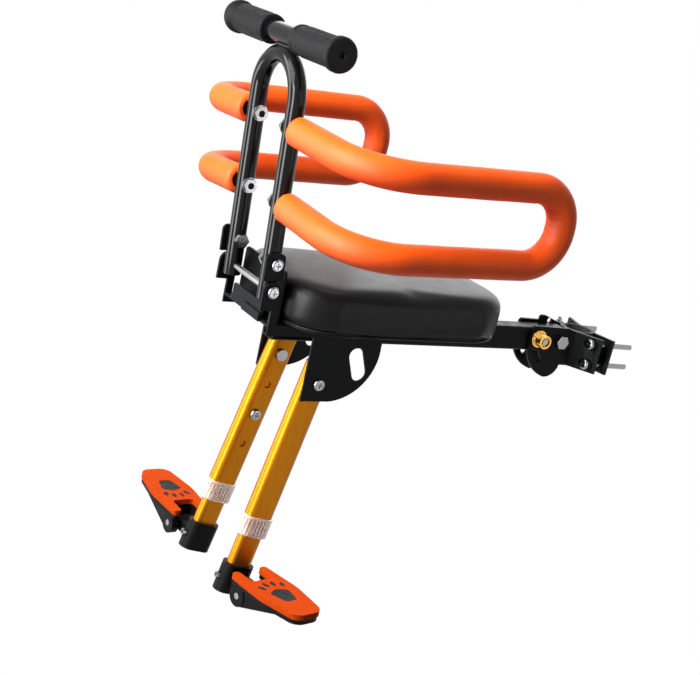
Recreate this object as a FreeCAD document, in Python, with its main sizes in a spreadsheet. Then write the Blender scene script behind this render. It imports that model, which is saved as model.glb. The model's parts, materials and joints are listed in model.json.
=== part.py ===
"""Folding child seat for a bicycle: handrail with padded side guards, cushion on a folded bracket,
two telescopic legs with folding foot pedals, and a seatpost clamp with a tilting head.

Millimetres. +X points to the rear of the bicycle, +Y to its right side, +Z up.
The origin is the centre of the seatpost bore of the clamp.
"""
import FreeCAD
import Part
import math
import os

Vector = FreeCAD.Vector
Rotation = FreeCAD.Rotation
Placement = FreeCAD.Placement

# Driving dimensions, each written once
SIZES = {
    # Where the handrail pivot lies from the seatpost
    "pivot_to_post": 391.0,
    "pivot_height": 52.0,
    "post_lean": 1.5,
    "post_radius": 13.6,
    # Handrail
    "rail_lean": 2.7,
    "rail_half": 35.5,
    "rail_tube": 16.0,
    "rail_wall": 1.5,
    "rail_foot": 9.0,
    "rail_apex": 197.0,
    "bar_tube": 17.5,
    "bar_half": 98.5,
    "bar_sink": 0.6,
    "grip_inner": 21.8,
    "grip_body": 25.0,
    "grip_flange": 29.5,
    "grip_flange_width": 8.0,
    "grip_rim": 27.0,
    "grip_rim_width": 4.0,
    "grip_cap": 3.0,
    # Side guards
    "guard_upper": 140.3,
    "guard_lower": 75.6,
    "guard_half": 157.0,
    "guard_rear": 199.5,
    "arm_upper": 133.5,
    "arm_lower": 66.0,
    "arm_slope": 1.5,
    "corner_upper": 3.0,
    "corner_lower": 4.0,
    "corner_bend": 54.0,
    "rear_bend": 32.5,
    "foam_tube": 26.2,
    "tube_setback": 0.5,
    "foam_setback": 1.5,
    "stud_radius": 3.0,
    "stud_plug": 22.0,
    "nut_across": 11.5,
    "nut_height": 4.5,
    "nut_flange": 7.0,
    "nut_flange_height": 1.4,
    "stud_recess": 1.2,
    # Hinge of the handrail
    "rod_radius": 3.0,
    "run_gap": 0.05,
    "side_gap": 0.5,
    "ear_sheet": 3.0,
    "ear_half": 9.0,
    "ear_step": 17.0,
    "cheek_front": 10.5,
    "cheek_rear": 8.0,
    "cheek_low": 10.0,
    "cheek_high": 34.5,
    "cheek_round": 5.0,
    "lock_height": 24.4,
    "screw_radius": 2.5,
    "screw_head": 5.6,
    "screw_head_height": 3.4,
    "recess_width": 1.1,
    "recess_length": 5.6,
    "recess_depth": 1.6,
    "pivot_tap": 12.0,
    "pivot_thread": 1.75,
    # Seat bracket under the cushion
    "tube_drop": 44.5,
    "tube_height": 24.5,
    "tube_width": 20.0,
    "tube_wall": 2.0,
    "tube_front": 30.0,
    "sheet": 2.2,
    "floor_front": 2.0,
    "floor_rear": 124.0,
    "floor_round": 6.0,
    "lip_height": 17.0,
    "lip_half": 30.0,
    "hem_height": 8.0,
    "hem_right": 4.0,
    "rim_drop": 7.3,
    "wall_front": 12.8,
    "wall_top": 17.0,
    "wall_half": 40.0,
    "saddle_front": 50.0,
    "saddle_rear": 123.0,
    "saddle_low": 100.5,
    "saddle_flat": 79.0,
    "saddle_shoulder": 47.0,
    "saddle_slot_radius": 7.4,
    "saddle_slot_high_x": 98.5,
    "saddle_slot_high_z": 55.5,
    "saddle_slot_low_x": 105.0,
    "saddle_slot_low_z": 72.5,
    # Cushion
    "cushion_front": 15.4,
    "cushion_rear": 250.0,
    "cushion_half": 76.0,
    "cushion_top": 10.0,
    "cushion_corner": 46.0,
    "cushion_edge": 13.0,
    "board_inset": 5.0,
    "board_sheet": 3.0,
    "board_screw_front": 36.0,
    "board_screw_rear": 112.0,
    "board_screw_half": 24.0,
    # Legs
    "leg_pivot_x": 65.0,
    "leg_pivot_z": 84.0,
    "leg_lean": 11.6,
    "right_leg_turn": 1.6,
    "right_shin_lift": 5.0,
    "leg_long": 28.0,
    "leg_thick": 15.0,
    "leg_wall": 1.5,
    "leg_head": 17.0,
    "leg_length": 137.0,
    "leg_hole": 3.5,
    "leg_hole_first": 32.0,
    "leg_hole_pitch": 31.0,
    "leg_screw": 3.0,
    "slide_gap": 0.3,
    "inner_top": 30.0,
    "bush_height": 20.0,
    "bush_wall": 3.0,
    # Foot pedals
    "collar_top": 187.0,
    "collar_height": 28.0,
    "collar_wall": 3.5,
    "socket_head": 3.0,
    "socket_height": 3.0,
    "socket_shank": 2.0,
    "socket_across": 2.8,
    "socket_depth": 1.8,
    "hinge_out": 30.5,
    "hinge_drop": 15.0,
    "knuckle_radius": 7.0,
    "knuckle_half": 11.0,
    "arm_half": 8.5,
    "arm_rise": 5.5,
    "pedal_pin": 3.0,
    "pedal_turn_left": 12.0,
    "pedal_turn_right": 4.0,
    "pedal_rise": 1.5,
    "pedal_root": 11.0,
    "pedal_length": 90.0,
    "pedal_root_half": 19.5,
    "pedal_mid_half": 22.0,
    "pedal_tip_half": 15.0,
    "pedal_tip_round": 11.0,
    "pedal_side_round": 60.0,
    "pedal_notch_half": 11.6,
    "pedal_notch": 21.5,
    "pad_top": 18.5,
    "pad_height": 5.5,
    "tray_edge": 4.5,
    "tray_inset": 0.8,
    "hub_radius": 10.0,
    "wedge_half": 17.5,
    "wedge_stop": 22.0,
    "toe_out_inner": 20.5,
    "toe_out_outer": 24.5,
    "toe_half_inner": 4.2,
    "toe_half_outer": 11.5,
    "toe_length": 4.2,
    "toe_width": 2.5,
    "sole_start": 29.5,
    "sole_stop": 53.0,
    "sole_half": 11.0,
    "paw_fit": 0.1,
    "paw_sink": 0.4,
    # Clamp head
    "pivot_to_tilt": 360.0,
    "tube_overhang": 6.5,
    "tube_bevel": 4.5,
    "plate_gap": 0.6,
    "plate_sheet": 3.0,
    "plate_rise": 2.5,
    "plate_rear": 14.0,
    "lobe_radius": 40.5,
    "lobe_front": 38.5,
    "lobe_start": 200.0,
    "lobe_stop": 255.0,
    "lobe_heel": 7.0,
    "heel_bulge": 4.5,
    "slot_half": 3.5,
    "tilt_range": 45.0,
    "eyelet_front": 13.0,
    "eyelet_rear": 16.0,
    "eyelet_rise": 7.5,
    "eyelet_top": 7.0,
    "eyelet_hole": 3.0,
    "hex_radius": 4.0,
    "hex_across": 13.0,
    "hex_height": 5.5,
    "plunger_ahead": 30.0,
    "plunger_rise": 2.5,
    "plunger_pin": 3.0,
    "plunger_inner": 6.5,
    "plunger_collar": 4.3,
    "plunger_collar_width": 1.5,
    "knob_gap": 0.4,
    "knob_radius": 7.0,
    "knob_length": 13.5,
    "knob_flange": 9.0,
    "knob_flange_width": 3.0,
    "knob_recess": 5.0,
    "knob_recess_depth": 4.0,
    "lock_bush_radius": 6.5,
    "lock_bush_bore": 4.6,
    "lock_bush_floor": 2.0,
    "spring_wire": 0.35,
    "spring_length": 6.0,
    "spring_turns": 5.25,
    "liner_sheet": 3.0,
    "jaw_height": 37.0,
    "jaw_wing": 38.0,
    "front_cup": 38.0,
    "wing_turn": 54.0,
    "rear_cup": 50.0,
    "rear_sweep": 14.8,
    "bolt_out": 29.0,
    "bolt_rise": 10.75,
    "bolt_radius": 3.0,
    "bolt_seat": 4.0,
    "bolt_length": 54.0,
    "nut_seat": 19.5,
    "boss_rim": 0.6,
    "boss_depth": 4.5,
}

doc = FreeCAD.newDocument("child_bike_seat")
sheet = doc.addObject("Spreadsheet::Sheet", "dims")
for row, (alias, number) in enumerate(SIZES.items(), start=1):
    sheet.set(f"A{row}", alias)
    sheet.set(f"B{row}", str(number))
    sheet.setAlias(f"B{row}", alias)
doc.recompute()


class Dimensions:
    """Reads a driving dimension from the spreadsheet by its alias."""

    def __getattr__(self, alias):
        return float(sheet.get(alias))


d = Dimensions()
parts = []

LEFT, RIGHT = -1, 1
SIDES = {"left": LEFT, "right": RIGHT}
X_AXIS, Y_AXIS, Z_AXIS = Vector(1, 0, 0), Vector(0, 1, 0), Vector(0, 0, 1)
ALONG_Y = Rotation(X_AXIS, -90)
ALONG_X = Rotation(Y_AXIS, 90)

# Heights and widths that several pieces share
tube_top = -d.tube_drop + d.tube_height / 2
floor_top = tube_top + d.sheet
ear_inner = d.rail_half + d.rail_tube / 2 + d.side_gap
ear_outer = ear_inner + d.ear_sheet
cheek_inner = ear_inner - d.side_gap + d.run_gap
flange_outer = ear_outer
flange_inner = flange_outer - d.sheet
leg_centre = flange_inner - d.slide_gap - d.leg_thick / 2
plate_inner = d.tube_width / 2 + d.plate_gap
plate_outer = plate_inner + d.plate_sheet


# Frames in which the pieces are drawn

def seat_frame(turn=0.0):
    """Frame at the handrail pivot, turned about the pivot rod."""
    return Placement(Vector(-d.pivot_to_post, 0, d.pivot_height), Rotation(Y_AXIS, turn))


def rail_frame():
    return seat_frame(-d.rail_lean)


def leg_frame(side):
    """Frame at a leg's pivot screw, in the middle of the leg, +Z up along the leg."""
    pivot = Vector(d.leg_pivot_x, side * leg_centre, -d.leg_pivot_z)
    lean = d.leg_lean + (d.right_leg_turn if side == RIGHT else 0)
    return seat_frame() * Placement(pivot, Rotation(Y_AXIS, lean))


def shin_frame(side):
    """Leg frame moved up by as much as the inner tube is pushed in."""
    lift = d.right_shin_lift if side == RIGHT else 0
    return leg_frame(side) * Placement(Vector(0, 0, lift), Rotation())


def hinge_frame(side):
    """Frame at a pedal's hinge: +Y points outwards along the collar's arm, +Z up."""
    level = shin_frame(side).multVec(Vector(0, 0, -d.collar_top - d.hinge_drop))
    turn = d.pedal_turn_left + 180 if side == LEFT else d.pedal_turn_right
    return Placement(level, Rotation(Z_AXIS, turn)) * Placement(Vector(0, d.hinge_out, 0), Rotation())


def pedal_frame(side):
    """Hinge frame with the pedal's own rise towards its tip."""
    return hinge_frame(side) * Placement(Vector(), Rotation(X_AXIS, d.pedal_rise))


def clamp_frame():
    return Placement(Vector(0, 0, 0), Rotation(Y_AXIS, d.post_lean))


tilt_row = seat_frame().multVec(Vector(d.pivot_to_tilt, 0, -d.tube_drop))
tilt_axis = clamp_frame().inverse().multVec(tilt_row)


def finish(obj, node, frame):
    """Gives a sub-part its label and placement and lists it for writing."""
    obj.Label = node
    obj.Placement = frame
    parts.append(obj)
    return obj


# Building blocks

def sized(obj, **sizes):
    """Sets sizes: a string is an expression bound to the spreadsheet, a number is set as it is."""
    for name, value in sizes.items():
        if isinstance(value, str):
            obj.setExpression(name, value)
        else:
            setattr(obj, name, value)
    return obj


def block(name, corner, **sizes):
    box = sized(doc.addObject("Part::Box", name), **sizes)
    box.Placement = Placement(corner, Rotation())
    return box


def rod(name, base, direction, radius, height):
    """Cylinder from base along a direction given as a rotation of +Z."""
    cylinder = sized(doc.addObject("Part::Cylinder", name), Radius=radius, Height=height)
    cylinder.Placement = Placement(base, direction)
    return cylinder


def hexagon(name, base, direction, across, height):
    prism = doc.addObject("Part::Prism", name)
    prism.Polygon = 6
    sized(prism, Circumradius=f"({across}) / 2 / cos(30)", Height=height)
    prism.Placement = Placement(base, direction)
    return prism


def fused(name, *shapes):
    union = doc.addObject("Part::MultiFuse", name)
    union.Shapes = list(shapes)
    return union


def cut_from(name, base, *tools):
    cut = doc.addObject("Part::Cut", name)
    cut.Base = base
    cut.Tool = tools[0] if len(tools) == 1 else fused(name + "_tools", *tools)
    return cut


def group(name, *shapes):
    """Identical loose pieces that share one node."""
    compound = doc.addObject("Part::Compound", name)
    compound.Links = list(shapes)
    return compound


def new_body(name):
    return doc.addObject("PartDesign::Body", name)


def sketch(body, plane, name, offset=0.0):
    """Empty sketch on one of the body's own origin planes, moved along the plane's normal."""
    drawing = body.newObject("Sketcher::SketchObject", name)
    origin_plane = [f for f in body.Origin.OriginFeatures if f.Role == plane][0]
    drawing.AttachmentSupport = [(origin_plane, "")]
    drawing.MapMode = "FlatFace"
    drawing.AttachmentOffset = Placement(Vector(0, 0, offset), Rotation())
    return drawing


def corner_arc(before, corner, after, radius):
    """Tangent points and midpoint of a round of given radius at a corner of three points."""
    to_before = (before - corner).normalize()
    to_after = (after - corner).normalize()
    half = to_before.getAngle(to_after) / 2
    reach = radius / math.tan(half)
    middle = (to_before + to_after).normalize()
    depth = radius / math.sin(half) - radius
    return corner + to_before * reach, corner + middle * depth, corner + to_after * reach


def rounded(points, closed=True):
    """Lines and arcs through points (x, y[, radius]), with each corner rounded by its radius."""
    corners = [Vector(p[0], p[1], 0) for p in points]
    radii = [p[2] if len(p) > 2 else 0 for p in points]
    return rounded_path(corners, radii, closed)


def rounded_path(corners, radii, closed=False):
    edges = []
    count = len(corners)
    ends = []
    for i, corner in enumerate(corners):
        if radii[i] and (closed or 0 < i < count - 1):
            start, middle, stop = corner_arc(corners[i - 1], corner, corners[(i + 1) % count], radii[i])
            ends.append((start, stop, Part.Arc(start, middle, stop)))
        else:
            ends.append((corner, corner, None))
    for i, (_, stop, arc) in enumerate(ends):
        if arc:
            edges.append(arc)
        if i + 1 < count or closed:
            follow = ends[(i + 1) % count][0]
            if (follow - stop).Length > 1e-6:
                edges.append(Part.LineSegment(stop, follow))
    return edges


def circle(x, y, radius):
    return Part.Circle(Vector(x, y, 0), Z_AXIS, radius)


def stadium(length, thick):
    """Outline of a flat-oval section."""
    x, y, r = length / 2, thick / 2, thick / 2 - 0.001
    return rounded([(-x, -y, r), (x, -y, r), (x, y, r), (-x, y, r)])


def pad(body, drawing, length, reverse=False, middle=False):
    feature = body.newObject("PartDesign::Pad", drawing.Name + "_pad")
    feature.Profile = drawing
    sized(feature, Length=length)
    feature.Reversed = reverse
    feature.Midplane = middle
    doc.recompute()
    return feature


def pocket(body, drawing, length, reverse=False, middle=False):
    before = body.Shape.Volume
    feature = body.newObject("PartDesign::Pocket", drawing.Name + "_pocket")
    feature.Profile = drawing
    sized(feature, Length=length)
    feature.Reversed = reverse
    feature.Midplane = middle
    doc.recompute()
    if body.Shape.Volume >= before:
        raise RuntimeError(drawing.Name + " cuts nothing")
    return feature


def draw(drawing, *outlines):
    for outline in outlines:
        drawing.addGeometry(outline, False)


def padded_body(name, plane, outlines, length, offset=0.0, reverse=False, middle=False):
    """Body made by one pad of a drawn section."""
    body = new_body(name)
    drawing = sketch(body, plane, name + "_section", offset)
    draw(drawing, *outlines)
    pad(body, drawing, length, reverse, middle)
    return body


def pan_head(name, seat, direction):
    """Domed screw head with a cross recess, standing on its seat."""
    head = rod(name + "_head", seat, direction, "dims.screw_head", "dims.screw_head_height")
    dome = doc.addObject("Part::Fillet", name + "_dome")
    dome.Base = head
    dome.Edges = [(3, d.screw_head_height * 0.55, d.screw_head_height * 0.55)]
    corner = Vector(-d.recess_length / 2, -d.recess_width / 2, d.screw_head_height - d.recess_depth)
    arms = []
    for turn in (0, 90):
        arm = block(f"{name}_recess_{turn}", corner, Length="dims.recess_length", Width="dims.recess_width",
                    Height="dims.recess_depth")
        arm.Placement = Placement(seat, direction * Rotation(Z_AXIS, turn)) * arm.Placement
        arms.append(arm)
    return cut_from(name + "_top", dome, *arms)


def screw(name, head_seat, direction, reach, radius="dims.screw_radius"):
    """Pan-head screw: the head stands on head_seat, the shank runs back along -Z of its direction."""
    inward = direction.multVec(Vector(0, 0, -reach))
    shank = rod(name + "_shank", head_seat + inward, direction, radius, reach + 1)
    return fused(name, shank, pan_head(name, head_seat, direction))


def socket_screw(name, head_seat, direction, reach):
    """Small round-headed screw with a hexagon socket."""
    inward = direction.multVec(Vector(0, 0, -reach))
    shank = rod(name + "_shank", head_seat + inward, direction, "dims.socket_shank", reach + 1)
    head = rod(name + "_head", head_seat, direction, "dims.socket_head", "dims.socket_height")
    bottom = head_seat + direction.multVec(Vector(0, 0, d.socket_height - d.socket_depth))
    socket = hexagon(name + "_socket", bottom, direction, "dims.socket_across", "dims.socket_depth")
    return fused(name, shank, cut_from(name + "_top", head, socket))


def outward(side):
    """Rotation that turns +Z to the outside of the given side."""
    return Rotation(X_AXIS, -90 * side)


# Handrail

def make_u_frame():
    """Round tube bent to a U with a cross bar welded on its apex, drilled for rod, screws and studs."""
    body = new_body("u_frame_tube")
    bend = d.rail_half
    path = sketch(body, "YZ_Plane", "u_frame_path")
    high = d.rail_apex - bend
    left_foot, left_top = Vector(-bend, -d.rail_foot, 0), Vector(-bend, high, 0)
    right_top, right_foot = Vector(bend, high, 0), Vector(bend, -d.rail_foot, 0)
    draw(path, [
        Part.LineSegment(left_foot, left_top),
        Part.Arc(left_top, Vector(0, d.rail_apex, 0), right_top),
        Part.LineSegment(right_top, right_foot),
    ])
    section = sketch(body, "XY_Plane", "u_frame_section", -d.rail_foot)
    draw(section, [
        circle(0, -bend, d.rail_tube / 2),
        circle(0, -bend, d.rail_tube / 2 - d.rail_wall),
    ])
    pipe = body.newObject("PartDesign::AdditivePipe", "u_frame_pipe")
    pipe.Profile = section
    pipe.Spine = (path, [])
    doc.recompute()
    level = d.rail_apex + d.rail_tube / 2 + d.bar_tube / 2 - d.bar_sink
    bar_length = "2 * (dims.bar_half - dims.grip_cap)"
    bar_foot = Vector(0, -(d.bar_half - d.grip_cap), level)
    bar = rod("cross_bar_outside", bar_foot, ALONG_Y, "dims.bar_tube / 2", bar_length)
    bore = rod("cross_bar_bore", bar_foot, ALONG_Y, "dims.bar_tube / 2 - dims.rail_wall", bar_length)
    welded = fused("u_frame_welded", body, cut_from("cross_bar", bar, bore))
    across = "2 * dims.rail_half + 2 * dims.rail_tube"
    start = -(d.rail_half + d.rail_tube)
    drills = [rod("rod_drill", Vector(0, start, 0), ALONG_Y, "dims.rod_radius + dims.run_gap", across)]
    lock = Vector(0, start, d.lock_height)
    drills.append(rod("lock_drill", lock, ALONG_Y, "dims.screw_radius + 2 * dims.run_gap", across))
    for name, height in (("upper", d.guard_upper), ("lower", d.guard_lower)):
        stud = Vector(0, start, height)
        drills.append(rod(name + "_drill", stud, ALONG_Y, "dims.stud_radius + 2 * dims.run_gap", across))
    finish(cut_from("u_frame", welded, *drills), "u_frame", rail_frame())


def make_grips():
    """Rubber grips with an end flange, a ring groove and an inner rim, closed at the outer end."""
    level = d.rail_apex + d.rail_tube / 2 + d.bar_tube / 2 - d.bar_sink
    inner, outer = d.grip_inner, d.bar_half
    rim, flange, body_r = d.grip_rim / 2, d.grip_flange / 2, d.grip_body / 2
    flange_start = outer - d.grip_flange_width
    rim_end = inner + d.grip_rim_width
    profile = rounded([
        (d.bar_tube / 2, inner), (rim, inner, 1.2), (rim, rim_end, 1.2), (body_r, rim_end + 1.5),
        (body_r, flange_start - 3.0), (flange, flange_start, 1.5), (flange, outer, 2.5), (0, outer),
        (0, outer - d.grip_cap), (d.bar_tube / 2, outer - d.grip_cap),
    ])
    for name, side in SIDES.items():
        body = new_body(name + "_grip_body")
        drawing = sketch(body, "XZ_Plane", name + "_grip_section")
        draw(drawing, profile)
        turned = body.newObject("PartDesign::Revolution", name + "_grip_turned")
        turned.Profile = drawing
        turned.ReferenceAxis = (drawing, ["V_Axis"])
        turned.Angle = 360
        doc.recompute()
        bar_end = Placement(Vector(0, 0, level), outward(side))
        finish(body, name + "_grip", rail_frame() * bar_end)


def guard_ends(side):
    """Points on the upright's outer face where the two ends of a guard tube start."""
    lean = Rotation(Y_AXIS, -d.rail_lean)
    out = side * (d.rail_half + d.rail_tube / 2 + d.side_gap)
    return [lean.multVec(Vector(0, out, height)) for height in (d.guard_upper, d.guard_lower)]


def guard_path(side, setback=0.0):
    """Centre line of a guard: out from the upright, back, down and forward again."""
    start, stop = guard_ends(side)
    out = side * d.guard_half
    slope = math.tan(math.radians(d.arm_slope))
    high = d.arm_upper + (d.guard_rear - d.corner_upper) * slope
    low = d.arm_lower + (d.guard_rear - d.corner_lower) * slope
    corners = [
        start, Vector(d.corner_upper, out, d.arm_upper), Vector(d.guard_rear, out, high),
        Vector(d.guard_rear, out, low), Vector(d.corner_lower, out, d.arm_lower), stop,
    ]
    corners[0] = start + (corners[1] - start).normalize() * setback
    corners[-1] = stop + (corners[-2] - stop).normalize() * setback
    radii = [0, d.corner_bend, d.rear_bend, d.rear_bend, d.corner_bend, 0]
    return Part.Wire([curve.toShape() for curve in rounded_path(corners, radii)])


def swept_tube(path, radius):
    """Solid round bar along a path of lines and tangent arcs."""
    first = path.OrderedEdges[0]
    begin = first.valueAt(first.FirstParameter)
    along = first.tangentAt(first.FirstParameter)
    section = Part.Wire([Part.Circle(begin, along, radius).toShape()])
    solid = path.makePipeShell([section], True, True)
    expected = math.pi * radius ** 2 * path.Length
    if abs(solid.Volume / expected - 1) > 0.01:
        raise RuntimeError("a swept tube has the wrong volume")
    return solid


def flanged_nut(name, end, out):
    """Hexagon nut from its free end, with a round flange on the side that bears."""
    body = hexagon(name + "_body", end, out, "dims.nut_across", "dims.nut_height")
    bearing = end + out.multVec(Vector(0, 0, d.nut_height - d.nut_flange_height))
    flange = rod(name + "_flange", bearing, out, "dims.nut_flange", "dims.nut_flange_height")
    hole = rod(name + "_hole", end, out, "dims.stud_radius", "dims.nut_height")
    return cut_from(name, fused(name + "_solid", body, flange), hole)


def make_guards():
    """Bent guard tubes in foam sleeves, with end plugs whose studs pass the uprights to inside nuts."""
    tube_r, bore_r = d.rail_tube / 2, d.rail_tube / 2 - d.rail_wall
    studs, nuts = [], []
    for name, side in SIDES.items():
        path = guard_path(side, d.tube_setback)
        tube = doc.addObject("Part::Feature", name + "_guard_tube")
        tube.Shape = swept_tube(path, tube_r).cut(swept_tube(path, bore_r))
        finish(tube, name + "_guard_tube", seat_frame())
        sleeve_path = guard_path(side, d.foam_setback)
        foam = doc.addObject("Part::Feature", name + "_guard_foam")
        foam.Shape = swept_tube(sleeve_path, d.foam_tube / 2).cut(swept_tube(sleeve_path, tube_r))
        finish(foam, name + "_guard_foam", seat_frame())
        edges = path.OrderedEdges
        ends = ((edges[0].firstVertex().Point, edges[0].tangentAt(0)),
                (edges[-1].lastVertex().Point, edges[-1].tangentAt(edges[-1].LastParameter) * -1))
        for place, (end, inward) in zip(("upper", "lower"), ends):
            label = f"{name}_{place}"
            along = Rotation(Z_AXIS, inward)
            plug = rod(label + "_plug", end, along, "dims.rail_tube / 2 - dims.rail_wall", "dims.stud_plug")
            out = outward(side)
            seat = d.rail_tube + 2 * d.side_gap
            back = seat + d.nut_height - d.stud_recess
            stud_end = end - out.multVec(Vector(0, 0, back))
            stud = rod(label + "_stud_rod", stud_end, out, "dims.stud_radius", back + 4)
            studs.append(fused(label + "_stud", plug, stud))
            nut_end = end - out.multVec(Vector(0, 0, seat + d.nut_height))
            nuts.append(flanged_nut(label + "_nut", nut_end, out))
    finish(group("guard_studs", *studs), "guard_studs", seat_frame())
    finish(group("guard_nuts", *nuts), "guard_nuts", seat_frame())


def make_cheeks():
    """Cheek plates on the uprights' outer faces, each with a lock screw through the upright to a nut."""
    screws, nuts = [], []
    front, rear, bend = -d.cheek_front, d.cheek_rear, d.cheek_round
    low, high = d.cheek_low, d.cheek_high
    outline = rounded([(front, low), (rear, low), (rear, high, bend), (front, high, bend)])
    hole = [circle(0, d.lock_height, d.screw_radius)]
    for name, side in SIDES.items():
        start = cheek_inner if side == LEFT else -cheek_inner
        plate = padded_body(name + "_cheek_body", "XZ_Plane", (outline, hole), "dims.ear_sheet",
                            start, side == RIGHT)
        finish(plate, name + "_hinge_cheek", rail_frame())
        seat = Vector(0, side * (cheek_inner + d.ear_sheet), d.lock_height)
        nut_out = d.rail_half - d.rail_tube / 2 - d.run_gap
        reach = seat.y * side - nut_out + d.nut_height + 1.5
        screws.append(screw(name + "_lock_screw", seat, outward(side), reach))
        nut_base = Vector(0, side * (nut_out - d.nut_height), d.lock_height)
        nut = hexagon(name + "_lock_nut_body", nut_base, outward(side), "dims.nut_across", "dims.nut_height")
        bore = rod(name + "_lock_nut_hole", nut_base, outward(side), "dims.screw_radius", "dims.nut_height")
        nuts.append(cut_from(name + "_lock_nut", nut, bore))
    finish(group("lock_screws", *screws), "lock_screws", rail_frame())
    finish(group("lock_nuts", *nuts), "lock_nuts", rail_frame())


# Seat

def make_seat_bracket():
    """Folded sheet: floor under the cushion, hinge ears up, saddle flanges down, lip in front."""
    body = new_body("seat_bracket_sheet")
    floor = sketch(body, "XY_Plane", "bracket_floor", tube_top)
    draw(floor, rounded([
        (d.floor_front, -ear_outer), (d.floor_rear, -ear_outer, d.floor_round),
        (d.floor_rear, ear_outer, d.floor_round), (d.floor_front, ear_outer),
    ]))
    pad(body, floor, "dims.sheet")
    half, step = d.ear_half, d.ear_step
    ear = [
        Part.LineSegment(Vector(d.floor_front, tube_top, 0), Vector(half, tube_top, 0)),
        Part.LineSegment(Vector(half, tube_top, 0), Vector(half, 0, 0)),
        Part.Arc(Vector(half, 0, 0), Vector(0, half, 0), Vector(-half, 0, 0)),
        Part.LineSegment(Vector(-half, 0, 0), Vector(-half, -step, 0)),
        Part.LineSegment(Vector(-half, -step, 0), Vector(d.floor_front, -step, 0)),
        Part.LineSegment(Vector(d.floor_front, -step, 0), Vector(d.floor_front, tube_top, 0)),
        circle(0, 0, d.rod_radius),
    ]
    skirt = d.saddle_shoulder
    slot_r = d.saddle_slot_radius
    across, down = d.saddle_rear - d.saddle_flat, d.saddle_low - skirt
    bulge = Vector(d.saddle_flat + across * math.cos(math.pi / 4), -skirt - down * math.sin(math.pi / 4), 0)
    slot_low = Vector(d.saddle_slot_low_x, -d.saddle_slot_low_z, 0)
    slot_high = Vector(d.saddle_slot_high_x, -d.saddle_slot_high_z, 0)
    rim = tube_top - d.rim_drop
    corners = [
        (d.saddle_flat, -d.saddle_low), (d.saddle_front, -d.saddle_low), (d.saddle_front, rim),
        (d.floor_front, rim), (d.floor_front, tube_top), (d.saddle_rear, tube_top), (d.saddle_rear, -skirt),
    ]
    flange = rounded(corners, False) + [
        Part.Arc(Vector(d.saddle_rear, -skirt, 0), bulge, Vector(d.saddle_flat, -d.saddle_low, 0)),
        circle(d.leg_pivot_x, -d.leg_pivot_z, d.leg_screw),
    ] + slot_outline(slot_low, slot_high, slot_r)
    for name, side in SIDES.items():
        start = -side * ear_inner
        raised = sketch(body, "XZ_Plane", name + "_ear", start)
        draw(raised, ear)
        pad(body, raised, "dims.ear_sheet", side == RIGHT)
        lowered = sketch(body, "XZ_Plane", name + "_flange", -side * flange_inner)
        draw(lowered, flange)
        pad(body, lowered, "dims.sheet", side == RIGHT)
    lip = sketch(body, "YZ_Plane", "bracket_lip", d.floor_front)
    draw(lip, rounded([
        (-d.lip_half, tube_top), (d.lip_half, tube_top),
        (d.lip_half, tube_top + d.lip_height, 3), (-d.lip_half, tube_top + d.lip_height, 3),
    ]))
    pad(body, lip, "dims.sheet")
    hem = sketch(body, "YZ_Plane", "bracket_hem", d.floor_front)
    hem_top = tube_top + d.hem_height
    draw(hem, rounded([
        (-d.lip_half, tube_top), (d.hem_right, tube_top),
        (d.hem_right, hem_top, 2), (-d.lip_half, hem_top, 2),
    ]))
    pad(body, hem, "dims.sheet", True)
    wall = sketch(body, "YZ_Plane", "bracket_wall", d.wall_front)
    draw(wall, rounded([
        (-d.wall_half, tube_top), (d.wall_half, tube_top),
        (d.wall_half, d.wall_top, 4), (-d.wall_half, d.wall_top, 4),
    ]))
    pad(body, wall, "dims.sheet")
    finish(body, "seat_bracket", seat_frame())


def slot_outline(low, high, radius):
    """Straight slot with round ends between two centres."""
    along = (high - low).normalize()
    side = Vector(-along.y, along.x, 0) * radius
    return [
        Part.LineSegment(low + side, high + side),
        Part.Arc(high + side, high + along * radius, high - side),
        Part.LineSegment(high - side, low - side),
        Part.Arc(low - side, low - along * radius, low + side),
    ]


def make_pivot():
    """Pivot rod of the handrail, with a pan-head screw in each end."""
    pivot = rod("pivot_rod_bar", Vector(0, -ear_outer, 0), ALONG_Y, "dims.rod_radius",
                2 * ear_outer)
    depth = d.pivot_tap
    taps = [rod(name + "_tap", Vector(0, side * (ear_outer - depth), 0), outward(side),
                "dims.pivot_thread", depth) for name, side in SIDES.items()]
    finish(cut_from("pivot_rod", pivot, *taps), "pivot_rod", seat_frame())
    screws = [screw(name + "_pivot_screw", Vector(0, side * ear_outer, 0), outward(side), depth,
                    "dims.pivot_thread") for name, side in SIDES.items()]
    finish(group("pivot_screws", *screws), "pivot_screws", seat_frame())


def cushion_outline(inset):
    front, rear = d.cushion_front + inset, d.cushion_rear - inset
    half, r = d.cushion_half - inset, d.cushion_corner - inset
    return rounded([(front, -half, r), (rear, -half, r), (rear, half, r), (front, half, r)])


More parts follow.
